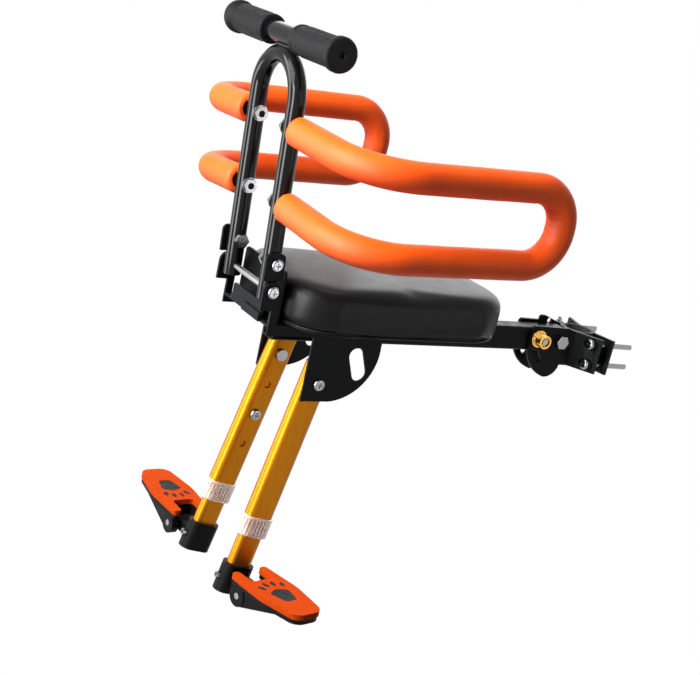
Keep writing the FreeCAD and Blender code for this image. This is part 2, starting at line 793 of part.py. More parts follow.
def make_cushion():
    """Padded cushion with a recess for its base board, and the board with its four screws."""
    body = new_body("cushion_pad")
    outline = sketch(body, "XY_Plane", "cushion_outline", floor_top)
    draw(outline, cushion_outline(0))
    pad(body, outline, d.cushion_top - floor_top)
    recess = sketch(body, "XY_Plane", "cushion_recess", floor_top)
    draw(recess, cushion_outline(d.board_inset))
    hollow = pocket(body, recess, "dims.board_sheet", True)
    top = [f"Edge{i + 1}" for i, edge in enumerate(body.Shape.Edges)
           if abs(edge.BoundBox.ZMin - d.cushion_top) < 1e-6 and abs(edge.BoundBox.ZMax - d.cushion_top) < 1e-6]
    edge = body.newObject("PartDesign::Fillet", "cushion_edge_round")
    edge.Base = (hollow, top)
    sized(edge, Radius="dims.cushion_edge")
    doc.recompute()
    finish(body, "seat_cushion", seat_frame())
    board = padded_body("cushion_board_sheet", "XY_Plane", (cushion_outline(d.board_inset),),
                        "dims.board_sheet", floor_top)
    finish(board, "cushion_board", seat_frame())
    heads = []
    down = Rotation(X_AXIS, 180)
    spots = [(x, y) for x in (d.board_screw_front, d.board_screw_rear)
             for y in (d.board_screw_half, -d.board_screw_half)]
    for i, (x, y) in enumerate(spots):
        heads.append(rod(f"board_screw_{i}", Vector(x, y, tube_top), down, "dims.screw_head", "dims.screw_head_height"))
    finish(group("board_screws", *heads), "board_screws", seat_frame())


def make_base_tube():
    """Rectangular tube from the bracket to the clamp: tilt bore, lock pin's hole, bevelled heel."""
    rear = d.pivot_to_tilt + d.tube_overhang
    body = new_body("base_tube_section")
    half, high = d.tube_width / 2, d.tube_height / 2
    wall = d.tube_wall
    section = sketch(body, "YZ_Plane", "base_tube_profile", d.tube_front)
    draw(section, rounded([(-half, -high - d.tube_drop, 3), (half, -high - d.tube_drop, 3),
                           (half, high - d.tube_drop, 3), (-half, high - d.tube_drop, 3)]),
         rounded([(wall - half, wall - high - d.tube_drop, 1), (half - wall, wall - high - d.tube_drop, 1),
                  (half - wall, high - wall - d.tube_drop, 1), (wall - half, high - wall - d.tube_drop, 1)]))
    pad(body, section, rear - d.tube_front)
    tilt_bore = sketch(body, "XZ_Plane", "base_tube_tilt_bore")
    draw(tilt_bore, [circle(d.pivot_to_tilt, -d.tube_drop, d.hex_radius + d.run_gap)])
    pocket(body, tilt_bore, "2 * dims.tube_width", False, True)
    low = -d.tube_drop - high
    bevel = sketch(body, "XZ_Plane", "base_tube_bevel")
    draw(bevel, rounded([(rear - d.tube_bevel, low), (rear, low), (rear, low + d.tube_bevel)]))
    pocket(body, bevel, "2 * dims.tube_width", False, True)
    lock_hole = sketch(body, "XZ_Plane", "base_tube_lock_hole")
    draw(lock_hole, [circle(d.pivot_to_tilt - d.plunger_ahead, d.plunger_rise - d.tube_drop,
                            d.plunger_pin + 4 * d.run_gap)])
    pocket(body, lock_hole, "dims.tube_width", True)
    finish(body, "base_tube", seat_frame())


# Legs and foot pedals

def make_leg(name, side):
    """Outer leg tube on its pivot screw, with adjusting holes, lock screw and clear end bush."""
    long, thick, wall = d.leg_long, d.leg_thick, d.leg_wall
    tube = padded_body(name + "_leg_section", "XY_Plane",
                       (stadium(long, thick), stadium(long - 2 * wall, thick - 2 * wall)),
                       "dims.leg_length + dims.leg_head", d.leg_head, True)
    drills = [rod(name + "_leg_pivot_drill", Vector(0, -thick, 0), ALONG_Y, "dims.leg_screw + dims.run_gap",
                  2 * thick)]
    inside = outward(-side)
    for i in range(3):
        drills.append(rod(f"{name}_leg_hole_{i}", Vector(0, 0, -d.leg_hole_first - i * d.leg_hole_pitch),
                          inside, "dims.leg_hole", "dims.leg_thick"))
    finish(cut_from(name + "_leg_tube", tube, *drills), name + "_leg_tube", leg_frame(side))

    bore = 2 * d.slide_gap
    inner_long, inner_thick = long - 2 * wall - bore, thick - 2 * wall - bore
    bush = padded_body(name + "_bush_section", "XY_Plane",
                       (stadium(long + d.bush_wall, thick + d.bush_wall), stadium(inner_long + bore, inner_thick + bore)),
                       "dims.bush_height", -d.leg_length, True)
    finish(bush, name + "_leg_bush", leg_frame(side))

    lock_level = -d.leg_hole_first - d.leg_hole_pitch
    face = -side * thick / 2
    head = pan_head(name + "_leg_lock", Vector(0, face, lock_level), inside)
    point = rod(name + "_lock_point", Vector(0, face + side * (wall + 0.05), lock_level), inside,
                "dims.leg_hole", wall + 1)
    finish(fused(name + "_leg_lock", head, point), name + "_leg_lock", leg_frame(side))

    outside = side * (thick / 2 + d.slide_gap + d.sheet)
    pin_head = pan_head(name + "_leg_screw", Vector(0, outside, 0), outward(side))
    reach = thick + 2 * d.slide_gap + d.sheet
    pin = rod(name + "_leg_screw_pin", Vector(0, outside - side * reach, 0), outward(side), "dims.leg_screw",
              reach + 1)
    stop = rod(name + "_leg_screw_nut", Vector(0, outside - side * reach, 0), inside, "dims.screw_head",
               "dims.screw_head_height")
    finish(fused(name + "_leg_screw", pin_head, pin, stop), name + "_leg_screw", leg_frame(side))

    bottom = d.collar_top + d.collar_height - 2
    inner = padded_body(name + "_inner_section", "XY_Plane",
                        (stadium(inner_long, inner_thick), stadium(inner_long - 2 * wall, inner_thick - 2 * wall)),
                        bottom - d.inner_top, -d.inner_top, True)
    finish(inner, name + "_leg_inner", shin_frame(side))
    return inner_long, inner_thick


def make_collar(name, side, inner_long, inner_thick):
    """Collar on the leg's end with an arm and knuckle for the pedal, and its clamp screw."""
    wall = d.collar_wall
    sleeve = padded_body(name + "_collar_section", "XY_Plane",
                         (stadium(inner_long + 2 * wall, inner_thick + 2 * wall),),
                         "dims.collar_height", -d.collar_top, True)
    socket = padded_body(name + "_socket_section", "XY_Plane", (stadium(inner_long, inner_thick),),
                         "dims.collar_height - 2", -d.collar_top, True)
    to_leg = shin_frame(side).inverse() * hinge_frame(side)
    half, rise = d.arm_half, d.arm_rise
    arm = block(name + "_collar_arm", Vector(), Length="2 * dims.arm_half", Height="2 * dims.arm_rise",
                Width="dims.hinge_out")
    arm.Placement = to_leg * Placement(Vector(-half, -d.hinge_out, -rise), Rotation())
    knuckle = rod(name + "_collar_knuckle", Vector(), Rotation(), "dims.knuckle_radius", "2 * dims.knuckle_half")
    knuckle.Placement = to_leg * Placement(Vector(-d.knuckle_half, 0, 0), ALONG_X)
    bore = rod(name + "_collar_bore", Vector(), Rotation(), "dims.pedal_pin + dims.run_gap", "4 * dims.knuckle_half")
    bore.Placement = to_leg * Placement(Vector(-2 * d.knuckle_half, 0, 0), ALONG_X)
    solid = fused(name + "_collar_solid", sleeve, arm, knuckle)
    level = -d.collar_top - d.collar_height / 2
    front = -(inner_long / 2 + wall)
    forward = Rotation(Y_AXIS, -90)
    tap = rod(name + "_collar_tap", Vector(front + wall, 0, level), forward, "dims.socket_shank", 2 * wall)
    finish(cut_from(name + "_pedal_collar", solid, socket, bore, tap), name + "_pedal_collar", shin_frame(side))
    finish(socket_screw(name + "_collar_screw", Vector(front, 0, level), forward, wall - 0.1),
           name + "_collar_screw", shin_frame(side))


def pedal_outline(inset):
    """Foot-shaped outline with a notch at the root for the collar's arm."""
    root, tip = -d.pedal_root + inset, d.pedal_length - d.pedal_root - inset
    end, mid, far = d.pedal_root_half - inset, d.pedal_mid_half - inset, d.pedal_tip_half - inset
    notch, depth = d.pedal_notch_half + inset, d.pedal_notch - d.pedal_root + inset
    belly = root + d.pedal_length * 0.5
    bend, tip_bend = d.pedal_side_round, d.pedal_tip_round
    return rounded([
        (notch, root, 3.0), (end, root, 3.0), (mid, belly, bend), (far, tip, tip_bend), (-far, tip, tip_bend),
        (-mid, belly, bend), (-end, root, 3.0), (-notch, root, 3.0), (-notch, depth, 4), (notch, depth, 4),
    ])


def paw_outlines(inset):
    """Paw print across the pedal: four toes towards the leg and a sole behind them."""
    toes = []
    for side in (-1, 1):
        for out, across, lean in ((d.toe_out_inner, d.toe_half_inner, 10), (d.toe_out_outer, d.toe_half_outer, 25)):
            toes.append([ellipse(side * across, out, d.toe_length - inset, d.toe_width - inset, 90 + side * lean)])
    half, start, stop = d.sole_half - inset, d.sole_start + inset, d.sole_stop - inset
    shoulder = start + half / 2
    sole = rounded([(-half, shoulder, 4), (0, start, 9), (half, shoulder, 4),
                    (half * 0.6, stop, 5), (-half * 0.6, stop, 5)])
    return toes + [sole]


def ellipse(x, y, major, minor, angle):
    turn = math.radians(angle)
    centre = Vector(x, y, 0)
    tip = centre + Vector(math.cos(turn), math.sin(turn), 0) * major
    side = centre + Vector(-math.sin(turn), math.cos(turn), 0) * minor
    return Part.Ellipse(tip, side, centre)


def make_pedal(name, side):
    """Black wedge-shaped tray with hinge hubs and a raised paw, orange pad round the paw, hinge pin."""
    pad_low = d.pad_top - d.pad_height
    tray_low = pad_low - d.tray_edge
    frame = pedal_frame(side)
    sheet_pad = padded_body(name + "_pad_body", "XY_Plane", [pedal_outline(0)] + paw_outlines(0),
                            "dims.pad_height", pad_low)
    finish(sheet_pad, name + "_pedal_pad", frame)

    tray = padded_body(name + "_tray_body", "XY_Plane", (pedal_outline(d.tray_inset),), "dims.tray_edge", tray_low)
    paw = sketch(tray, "XY_Plane", name + "_tray_paw", pad_low)
    draw(paw, *paw_outlines(d.paw_fit))
    pad(tray, paw, "dims.pad_height - dims.paw_sink")
    hub, inside = d.hub_radius, d.knuckle_half + d.slide_gap
    stop = d.pedal_length - d.pedal_root - d.wedge_stop
    brow = tray_low + 1
    fall = math.atan2(brow, stop) - math.acos(hub / math.hypot(stop, brow))
    side_view = rounded([(0, 0), (hub * math.cos(fall), hub * math.sin(fall)), (stop, brow), (-hub / 2, brow)])
    wedge = padded_body(name + "_wedge", "YZ_Plane", (side_view,), "2 * dims.wedge_half", 0, False, True)
    room = block(name + "_knuckle_room", Vector(-inside, -2 * hub, -2 * hub), Length=2 * inside,
                 Width=2 * hub + d.pedal_notch - d.pedal_root, Height=2 * hub + pad_low)
    width = d.pedal_root_half - d.tray_inset - inside
    hubs = [rod(f"{name}_{label}_hub", Vector(x, 0, 0), ALONG_X, "dims.hub_radius", width)
            for label, x in (("front", -inside - width), ("rear", inside))]
    bore = rod(name + "_tray_bore", Vector(-2 * d.knuckle_half, 0, 0), ALONG_X, "dims.pedal_pin",
               "4 * dims.knuckle_half")
    solid = fused(name + "_tray_solid", tray, wedge, *hubs)
    finish(cut_from(name + "_pedal_tray", solid, room, bore), name + "_pedal_tray", frame)
    reach = d.pedal_root_half - d.tray_inset
    pin = rod(name + "_pedal_pin_rod", Vector(-reach, 0, 0), ALONG_X, "dims.pedal_pin", 2 * reach)
    finish(pin, name + "_pedal_pin", frame * pin.Placement)


# Seatpost clamp with tilting head

def plate_outline():
    """Side plate about the tilt axis: lobe with an arc slot in front, tongue to the jaw behind."""
    x0, z0 = tilt_axis.x, tilt_axis.z
    top, low = d.jaw_height / 2, -d.jaw_height / 2

    def polar(radius, degrees):
        turn = math.radians(degrees)
        return Vector(x0 + radius * math.cos(turn), z0 + radius * math.sin(turn), 0)

    start, stop = polar(d.lobe_radius, d.lobe_start), polar(d.lobe_radius, d.lobe_stop)
    middle = polar(d.lobe_radius, (d.lobe_start + d.lobe_stop) / 2)
    heel = Vector(x0 + d.lobe_heel, low, 0)
    across = (heel - stop).normalize()
    bulge = (heel + stop) * 0.5 + Vector(across.y, -across.x, 0) * d.heel_bulge
    high = top + d.plate_rise
    edge = rounded([(heel.x, heel.y), (-d.plate_rear, low), (-d.plate_rear, top), (x0 + d.lobe_heel, high),
                    (x0 - d.lobe_front, high, 4), (start.x, start.y)], False)
    edge += [Part.Arc(start, middle, stop), Part.Arc(stop, bulge, heel)]

    rest = clamp_frame().Rotation.inverted().multVec(Vector(-d.plunger_ahead, 0, d.plunger_rise))
    slot_from = math.degrees(math.atan2(rest.z, rest.x)) % 360
    slot_to = slot_from + d.tilt_range
    mean, half = rest.Length, d.slot_half
    nose = math.degrees(half / mean)
    centre = (slot_from + slot_to) / 2
    slot = [
        Part.Arc(polar(mean - half, slot_from), polar(mean - half, centre), polar(mean - half, slot_to)),
        Part.Arc(polar(mean - half, slot_to), polar(mean, slot_to + nose), polar(mean + half, slot_to)),
        Part.Arc(polar(mean + half, slot_to), polar(mean + half, centre), polar(mean + half, slot_from)),
        Part.Arc(polar(mean + half, slot_from), polar(mean, slot_from - nose), polar(mean - half, slot_from)),
    ]
    return edge, slot, [circle(x0, z0, d.hex_radius)]


def half_ring(front, inner, outer):
    """Half of a ring about the post, on the front or the rear side, less a small parting gap."""
    sign = -1 if front else 1
    gap = 1.0
    a, b = math.sqrt(inner ** 2 - gap ** 2), math.sqrt(outer ** 2 - gap ** 2)
    x = sign * gap
    return [
        Part.Arc(Vector(x, -a, 0), Vector(sign * inner, 0, 0), Vector(x, a, 0)),
        Part.LineSegment(Vector(x, a, 0), Vector(x, b, 0)),
        Part.Arc(Vector(x, b, 0), Vector(sign * outer, 0, 0), Vector(x, -b, 0)),
        Part.LineSegment(Vector(x, -b, 0), Vector(x, -a, 0)),
    ]


def jaw_section(front, inner):
    """Plan of a jaw: cup round the liner with a straight wing on each side, as one bent strip."""
    sign = -1 if front else 1
    cup = math.radians(d.front_cup if front else d.rear_cup)
    turn = math.radians(d.wing_turn if front else 90 - d.rear_sweep)
    along = Vector(math.cos(turn), math.sin(turn), 0)
    outside = Vector(math.sin(turn), -math.cos(turn), 0) * (sign * d.plate_sheet)
    root_in = Vector(sign * inner * math.cos(cup), inner * math.sin(cup), 0)
    root_out = root_in + outside
    reach = (d.jaw_wing - max(root_in.y, root_out.y)) / along.y
    tip_in, tip_out = root_in + along * reach, root_out + along * reach

    def mirrored(point):
        return Vector(point.x, -point.y, 0)

    crown_in, crown_out = Vector(sign * inner, 0, 0), Vector(sign * (inner + d.plate_sheet), 0, 0)
    return [
        Part.LineSegment(tip_in, root_in), Part.Arc(root_in, crown_in, mirrored(root_in)),
        Part.LineSegment(mirrored(root_in), mirrored(tip_in)),
        Part.LineSegment(mirrored(tip_in), mirrored(tip_out)),
        Part.LineSegment(mirrored(tip_out), mirrored(root_out)),
        Part.Arc(mirrored(root_out), crown_out, root_out),
        Part.LineSegment(root_out, tip_out), Part.LineSegment(tip_out, tip_in),
    ]


def bolt_spots():
    return [(y, z) for y in (-d.bolt_out, d.bolt_out) for z in (d.bolt_rise, -d.bolt_rise)]


def make_clamp():
    """Front jaw with the tilting head's side plates, rear jaw, liners, bolts and tilt bolt."""
    frame = clamp_frame()
    liner_outer = d.post_radius + d.liner_sheet
    height, low = "dims.jaw_height", -d.jaw_height / 2
    for name, front in (("front", True), ("rear", False)):
        liner = padded_body(name + "_liner_ring", "XY_Plane", (half_ring(front, d.post_radius, liner_outer),),
                            height, low)
        finish(liner, name + "_jaw_liner", frame)

    pieces = [padded_body("front_strip", "XY_Plane", (jaw_section(True, liner_outer),), height, low)]
    for name, side in SIDES.items():
        pieces.append(padded_body(name + "_head_plate", "XZ_Plane", plate_outline(), "dims.plate_sheet",
                                  -side * plate_inner, side == RIGHT))
    top = d.jaw_height / 2
    x0 = tilt_axis.x
    eyelet = rounded([(x0 + d.eyelet_rear, top - 1), (x0 + d.eyelet_rear, top),
                      (x0 - d.eyelet_front + d.eyelet_top, top + d.eyelet_rise, 3),
                      (x0 - d.eyelet_front, top + d.eyelet_rise, 3), (x0 - d.eyelet_front, top - 1)])
    pieces.append(padded_body("eyelet", "XZ_Plane", (eyelet,), "dims.plate_sheet", -plate_inner, True))
    room = rod("front_jaw_room", Vector(0, 0, 2 * low), Rotation(), liner_outer, "2 * dims.jaw_height")
    tools = [room, rod("eyelet_hole", Vector(x0, plate_inner, top + d.plate_rise), ALONG_Y, "dims.eyelet_hole",
                       "dims.plate_sheet")]
    rear_pieces = [padded_body("rear_strip", "XY_Plane", (jaw_section(False, liner_outer),), height, low)]
    rear_tools = []
    for i, (y, z) in enumerate(bolt_spots()):
        seat = Vector(-d.bolt_seat, y, z)
        pieces.append(rod(f"front_boss_{i}", seat, ALONG_X, "dims.screw_head + dims.boss_rim", "dims.boss_depth"))
        tools.append(rod(f"front_bolt_hole_{i}", seat, ALONG_X, "dims.bolt_radius", "2 * dims.bolt_seat"))
        tools.append(rod(f"head_room_{i}", seat, Rotation(Y_AXIS, -90), "dims.screw_head + dims.boss_rim",
                         "dims.bolt_seat"))
        foot = Vector(d.nut_seat - d.boss_depth, y, z)
        rear_pieces.append(rod(f"rear_boss_{i}", foot, ALONG_X, "dims.screw_head", "dims.boss_depth"))
        rear_tools.append(rod(f"rear_bolt_hole_{i}", Vector(0, y, z), ALONG_X, "dims.bolt_radius",
                              "2 * dims.nut_seat"))
        rear_tools.append(rod(f"nut_room_{i}", Vector(d.nut_seat, y, z), ALONG_X, "dims.nut_across / 2 + 1",
                              "dims.nut_height"))
    finish(cut_from("clamp_front_jaw", fused("front_jaw_solid", *pieces), *tools), "clamp_front_jaw", frame)
    finish(cut_from("clamp_rear_jaw", fused("rear_jaw_solid", *rear_pieces), *rear_tools), "clamp_rear_jaw", frame)
    make_clamp_bolts(frame)
    make_tilt_bolt(frame)


def make_clamp_bolts(frame):
    """Four long bolts that draw the jaws together, each with a nut behind the rear jaw."""
    bolts, nuts = [], []
    forward = Rotation(Y_AXIS, -90)
    for i, (y, z) in enumerate(bolt_spots()):
        seat = Vector(-d.bolt_seat, y, z)
        shank = rod(f"clamp_bolt_{i}_shank", seat, ALONG_X, "dims.bolt_radius", "dims.bolt_length")
        bolts.append(fused(f"clamp_bolt_{i}", shank, pan_head(f"clamp_bolt_{i}", seat, forward)))
        base = Vector(d.nut_seat, y, z)
        nut = hexagon(f"clamp_nut_{i}_body", base, ALONG_X, "dims.nut_across - 1.5", "dims.nut_height - 1")
        hole = rod(f"clamp_nut_{i}_hole", base, ALONG_X, "dims.bolt_radius", "dims.nut_height")
        nuts.append(cut_from(f"clamp_nut_{i}", nut, hole))
    finish(group("clamp_bolts", *bolts), "clamp_bolts", frame)
    finish(group("clamp_nuts", *nuts), "clamp_nuts", frame)


def make_tilt_bolt(frame):
    """Hex bolt on which the base tube tilts, with a nut on the right side."""
    seat = Vector(tilt_axis.x, -plate_outer, tilt_axis.z)
    head = hexagon("tilt_bolt_head", seat, outward(LEFT), "dims.hex_across", "dims.hex_height")
    reach = 2 * plate_outer + d.hex_height + 3
    shank = rod("tilt_bolt_shank", seat, outward(RIGHT), "dims.hex_radius", reach)
    finish(fused("tilt_bolt", head, shank), "tilt_bolt", frame)
    nut_base = Vector(tilt_axis.x, plate_outer, tilt_axis.z)
    nut = hexagon("tilt_nut_body", nut_base, outward(RIGHT), "dims.hex_across", "dims.hex_height + 1")
    hole = rod("tilt_nut_hole", nut_base, outward(RIGHT), "dims.hex_radius", "dims.hex_height + 1")
    finish(cut_from("tilt_nut", nut, hole), "tilt_nut", frame)


def make_lock():
    """Spring lock on the base tube: knob outside the plate, pin through its arc slot, bush and spring."""
    frame = seat_frame()
    left = outward(LEFT)
    x, z = d.pivot_to_tilt - d.plunger_ahead, d.plunger_rise - d.tube_drop
    base = Vector(x, -plate_outer - d.knob_gap, z)
    end = base.y - d.knob_length
    body = rod("lock_knob_body", base, left, "dims.knob_radius", "dims.knob_length")
    flange = rod("lock_knob_flange", base, left, "dims.knob_flange", "dims.knob_flange_width")
    hole = rod("lock_knob_hole", base, left, "dims.plunger_pin", "dims.knob_length")
    recess = rod("lock_knob_recess", Vector(x, end + d.knob_recess_depth, z), left, "dims.knob_recess",
                 "dims.knob_recess_depth")
    finish(cut_from("lock_knob", fused("lock_knob_solid", body, flange), hole, recess), "lock_knob", frame)

    inner = Vector(x, d.plunger_inner, z)
    shaft = rod("lock_pin_shaft", inner, left, "dims.plunger_pin", d.plunger_inner - end - 1)
    collar = rod("lock_pin_collar", inner, left, "dims.plunger_collar", "dims.plunger_collar_width")
    finish(fused("lock_pin", shaft, collar), "lock_pin", frame)

    middle = Vector(x, 0, z)
    depth = d.tube_width / 2 - d.tube_wall
    bush = rod("lock_bush_body", middle, left, "dims.lock_bush_radius", depth)
    bore = rod("lock_bush_bore_tool", middle, left, "dims.lock_bush_bore", depth - d.lock_bush_floor)
    guide = rod("lock_bush_guide", middle, left, "dims.plunger_pin + dims.run_gap", depth)
    finish(cut_from("lock_bush", bush, bore, guide), "lock_bush", frame)
    make_lock_spring(frame, left, x, z)


def make_lock_spring(frame, left, x, z):
    """Compression spring round the pin, as a wound wire that bears on the pin's collar."""
    wire = d.spring_wire
    mean = d.plunger_collar - 0.2 - wire
    helix = Part.makeHelix(d.spring_length / d.spring_turns, d.spring_length, mean)
    section = Part.Wire([Part.Circle(Vector(mean, 0, 0), Y_AXIS, wire).toShape()])
    spring = doc.addObject("Part::Feature", "lock_spring")
    spring.Shape = Part.Wire(helix).makePipeShell([section], True, True)
    start = d.plunger_inner - d.plunger_collar_width - wire
    finish(spring, "lock_spring", frame * Placement(Vector(x, start, z), left))


make_u_frame()
make_grips()
make_guards()
make_cheeks()
make_seat_bracket()
make_pivot()
make_cushion()
make_base_tube()
for side_name, side_sign in SIDES.items():
    section = make_leg(side_name, side_sign)
    make_collar(side_name, side_sign, *section)
    make_pedal(side_name, side_sign)
make_clamp()
make_lock()

doc.recompute()
for obj in doc.Objects:
    if "Invalid" in obj.State or "Error" in obj.State:
        raise RuntimeError(f"{obj.Label} failed to recompute")
for part in parts:
    if part.Shape.isNull() or not part.Shape.isValid():
        raise RuntimeError(f"{part.Label} has no valid shape")

os.makedirs("parts", exist_ok=True)
for part in parts:
    part.Shape.exportStep(f"parts/{part.Label}.step")
    solids = len(part.Shape.Solids)
    print(f"{part.Label}: {solids} solid(s), {part.Shape.Volume / 1000:.2f} cm3")
print(len(parts), "nodes")
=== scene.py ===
"""Looks of the folding child bike seat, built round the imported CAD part."""
import json
import math

import bmesh
import bpy
from mathutils import Matrix, Vector, noise


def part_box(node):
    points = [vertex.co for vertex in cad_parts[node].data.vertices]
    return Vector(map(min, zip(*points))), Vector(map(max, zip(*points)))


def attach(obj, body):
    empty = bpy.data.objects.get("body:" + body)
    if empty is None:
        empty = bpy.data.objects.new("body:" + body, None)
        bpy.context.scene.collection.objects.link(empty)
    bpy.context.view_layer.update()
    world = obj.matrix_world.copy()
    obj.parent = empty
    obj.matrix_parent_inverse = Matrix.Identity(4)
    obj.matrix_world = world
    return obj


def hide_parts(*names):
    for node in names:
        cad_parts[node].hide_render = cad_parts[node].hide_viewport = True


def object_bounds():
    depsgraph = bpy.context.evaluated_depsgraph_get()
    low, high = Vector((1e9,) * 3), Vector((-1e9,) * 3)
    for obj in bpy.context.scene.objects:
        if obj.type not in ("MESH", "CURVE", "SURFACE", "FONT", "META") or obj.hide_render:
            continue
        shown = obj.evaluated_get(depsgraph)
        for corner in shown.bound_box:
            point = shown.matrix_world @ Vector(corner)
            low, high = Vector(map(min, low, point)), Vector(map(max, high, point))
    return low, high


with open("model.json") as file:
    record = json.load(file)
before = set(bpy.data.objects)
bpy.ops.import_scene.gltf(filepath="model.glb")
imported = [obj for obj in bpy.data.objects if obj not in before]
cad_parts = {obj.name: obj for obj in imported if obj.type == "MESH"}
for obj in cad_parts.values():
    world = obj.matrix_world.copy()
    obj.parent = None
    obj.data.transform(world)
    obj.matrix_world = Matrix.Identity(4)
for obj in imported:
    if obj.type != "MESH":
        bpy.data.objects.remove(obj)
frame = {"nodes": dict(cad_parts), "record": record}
cad_low, cad_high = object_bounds()
nodes = frame["nodes"]

MM = 0.001
SIDES = {"left": -1, "right": 1}

# Handrail: sizes in millimetres, counted from the pivot, whose place is in metres
PIVOT = Vector((-0.391, 0.0, 0.052))
LEAN = math.radians(2.7)
LEANED = Matrix.Rotation(-LEAN, 3, "Y")
RAIL_APEX = 197.0
RAIL_BEND = 35.5
RAIL_RADIUS = 8.0
BAR_RADIUS = 8.75
BAR_SINK = 0.6
BAR_LEVEL = RAIL_APEX + RAIL_RADIUS + BAR_RADIUS - BAR_SINK

# Side guards in millimetres: ends on the uprights, corners given as x and z, and bends
GUARD_END_HEIGHTS = (140.3, 75.6)
GUARD_END_OUT = 44.0
GUARD_OUT = 157.0
GUARD_FRONT_TOP = (3.0, 133.5)
GUARD_FRONT_FOOT = (4.0, 66.0)
GUARD_REAR = 199.5
GUARD_RISE = math.tan(math.radians(1.5))
GUARD_FRONT_BEND = 54.0
GUARD_REAR_BEND = 32.5

# Foam on the guards in millimetres, with noise scales per millimetre and the creases' drift in radians
FOAM_RADIUS = 13.1
FOAM_BORE = 8.03
FOAM_SETBACK = 1.5
FOAM_EDGE = 2.0
FOAM_STEP = 2.4
FOAM_SEGMENTS = 40
UNEVEN_DEPTH = 0.16
UNEVEN_REACH = 13.0
UNEVEN_SCALE = 0.045
CREASE_DEPTH = 0.55
CREASE_PITCH = 9.5
CREASE_DRIFT = 1.5
CREASE_SCALE = 0.05

# Grips in millimetres: place along the bar and radius, from the inner flange to the dished end
GRIP_FLANGE = (
    (26.0, 9.6), (26.0, 12.2), (26.6, 12.8), (28.8, 13.0),
    (30.0, 12.8), (30.5, 12.2), (31.8, 12.2), (32.4, 12.5),
)
GRIP_END = (
    (86.8, 12.1), (88.0, 12.1), (88.8, 12.7), (90.4, 14.2), (91.6, 14.75), (95.6, 14.75), (97.2, 14.3),
    (98.2, 13.4), (98.5, 12.0), (98.5, 3.4), (98.1, 2.7), (95.5, 2.3), (95.2, 0.02),
)
GRIP_RADIUS = 12.5
GRIP_BARREL_START = 32.4
GRIP_BARREL_END = 86.0
GRIP_STATIONS = 60
GRIP_SEGMENTS = 240

# Ribs of the grips: two fans that widen towards the end, in millimetres and radians
RIB_COUNT = 24
RIB_HEIGHT = 0.7
RIB_START = 33.0
RIB_END = 85.5
RIB_RUN_OUT = 4.0
FAN_START = 0.30
FAN_GROWTH = 0.55
FAN_LENGTH = 40.0
FAN_SOFT_EDGE = 0.12

# Weld of the handrail in millimetres
WELD_RADIUS = 1.5
WELD_SINK = 0.7
WELD_RIPPLES = 22
WELD_STATIONS = 132
WELD_SEGMENTS = 12

# Cushion and its edge bead, with lengths in metres
PAD_VOXEL = 0.005
PAD_START_HEIGHT = 0.99
PAD_PRESSURE = 4.0
PAD_STRETCH_STIFFNESS = 25
PAD_BEND_STIFFNESS = 5
PAD_FRAMES = 18
PAD_MOST_MOVE = 0.002
PAD_SIDE_PROUD = 0.001
PAD_TOP_PROUD = 0.002
PAD_CROWN = 0.0012
PAD_SMOOTHINGS = 4
BEAD_INSET = 0.003
BEAD_CORNER = 0.046
BEAD_HEIGHT = 0.0014
BEAD_RADIUS = 0.0011
BEAD_SEGMENTS = 10
BEAD_CORNER_STEPS = 16

# Bushes of the legs in millimetres and degrees: the leg's lean, and its screw as rearward, outward and up
LEG_LEAN = {"left": 11.6, "right": 13.2}
LEG_SCREW = (65.0, 37.0, -84.0)
BUSH_OUTSIDE = (31.0, 18.0)
BUSH_INSIDE = (25.0, 12.0)
BUSH_SEGMENTS = 168
BUSH_RIB_DEPTH = 0.55
BUSH_RIB_SEGMENTS = 7

# Skin of a bush: level along the leg from its screw, how far it stands in, and if it is ribbed
BUSH_PROFILE = (
    (-137.1, 0.8, False), (-137.8, 0.0, False), (-139.2, 0.0, False), (-139.8, 0.0, True),
    (-154.4, 0.0, True), (-155.0, 0.0, False), (-156.3, 0.0, False), (-157.0, 0.8, False),
)

# Camera fitted to the photograph: degrees, pixels of a 700 pixel wide frame, millimetres from the pivot
VIEW_TURN = -33.01
VIEW_RISE = 16.09
VIEW_ROLL = 12.53
VIEW_FOCAL_PIXELS = 1399.97
VIEW_FRAME_PIXELS = 700
VIEW_SENSOR = 36.0
VIEW_RIGHT = 89.0
VIEW_UP = -54.81
VIEW_BACK = 1241.41

# Stage in metres
FLOOR_DROP = 0.42
FLOOR_HALF = 9
LIGHT_TARGET = (-0.25, 0.0, 0.05)
KEY_PLACE = (-1.40, 0.02, 0.78)
KEY_TARGET = (-0.36, 0.0, 0.18)

# Edges of the CAD meshes: points merged within this many metres, faces joined within this many degrees
MERGE_GAP = 2e-6
FLAT_ANGLE = 0.5


# Materials

def new_material(name, colour, roughness, metallic=0.0, coat=0.0, coat_roughness=0.1, specular=0.5):
    """Principled material with its even values; the helpers below add the detail by nodes."""
    mat = bpy.data.materials.new(name)
    mat.use_nodes = True
    shader = mat.node_tree.nodes["Principled BSDF"]
    shader.inputs["Base Color"].default_value = (*colour, 1)
    shader.inputs["Roughness"].default_value = roughness
    shader.inputs["Metallic"].default_value = metallic
    shader.inputs["Coat Weight"].default_value = coat
    shader.inputs["Coat Roughness"].default_value = coat_roughness
    shader.inputs["Specular IOR Level"].default_value = specular
    return mat


def node(mat, kind, **settings):
    """New shader node in a material, with its settings."""
    made = mat.node_tree.nodes.new(kind)
    for name, value in settings.items():
        setattr(made, name, value)
    return made


def link(mat, out, into):
    """Joins two sockets of a material's nodes."""
    mat.node_tree.links.new(out, into)


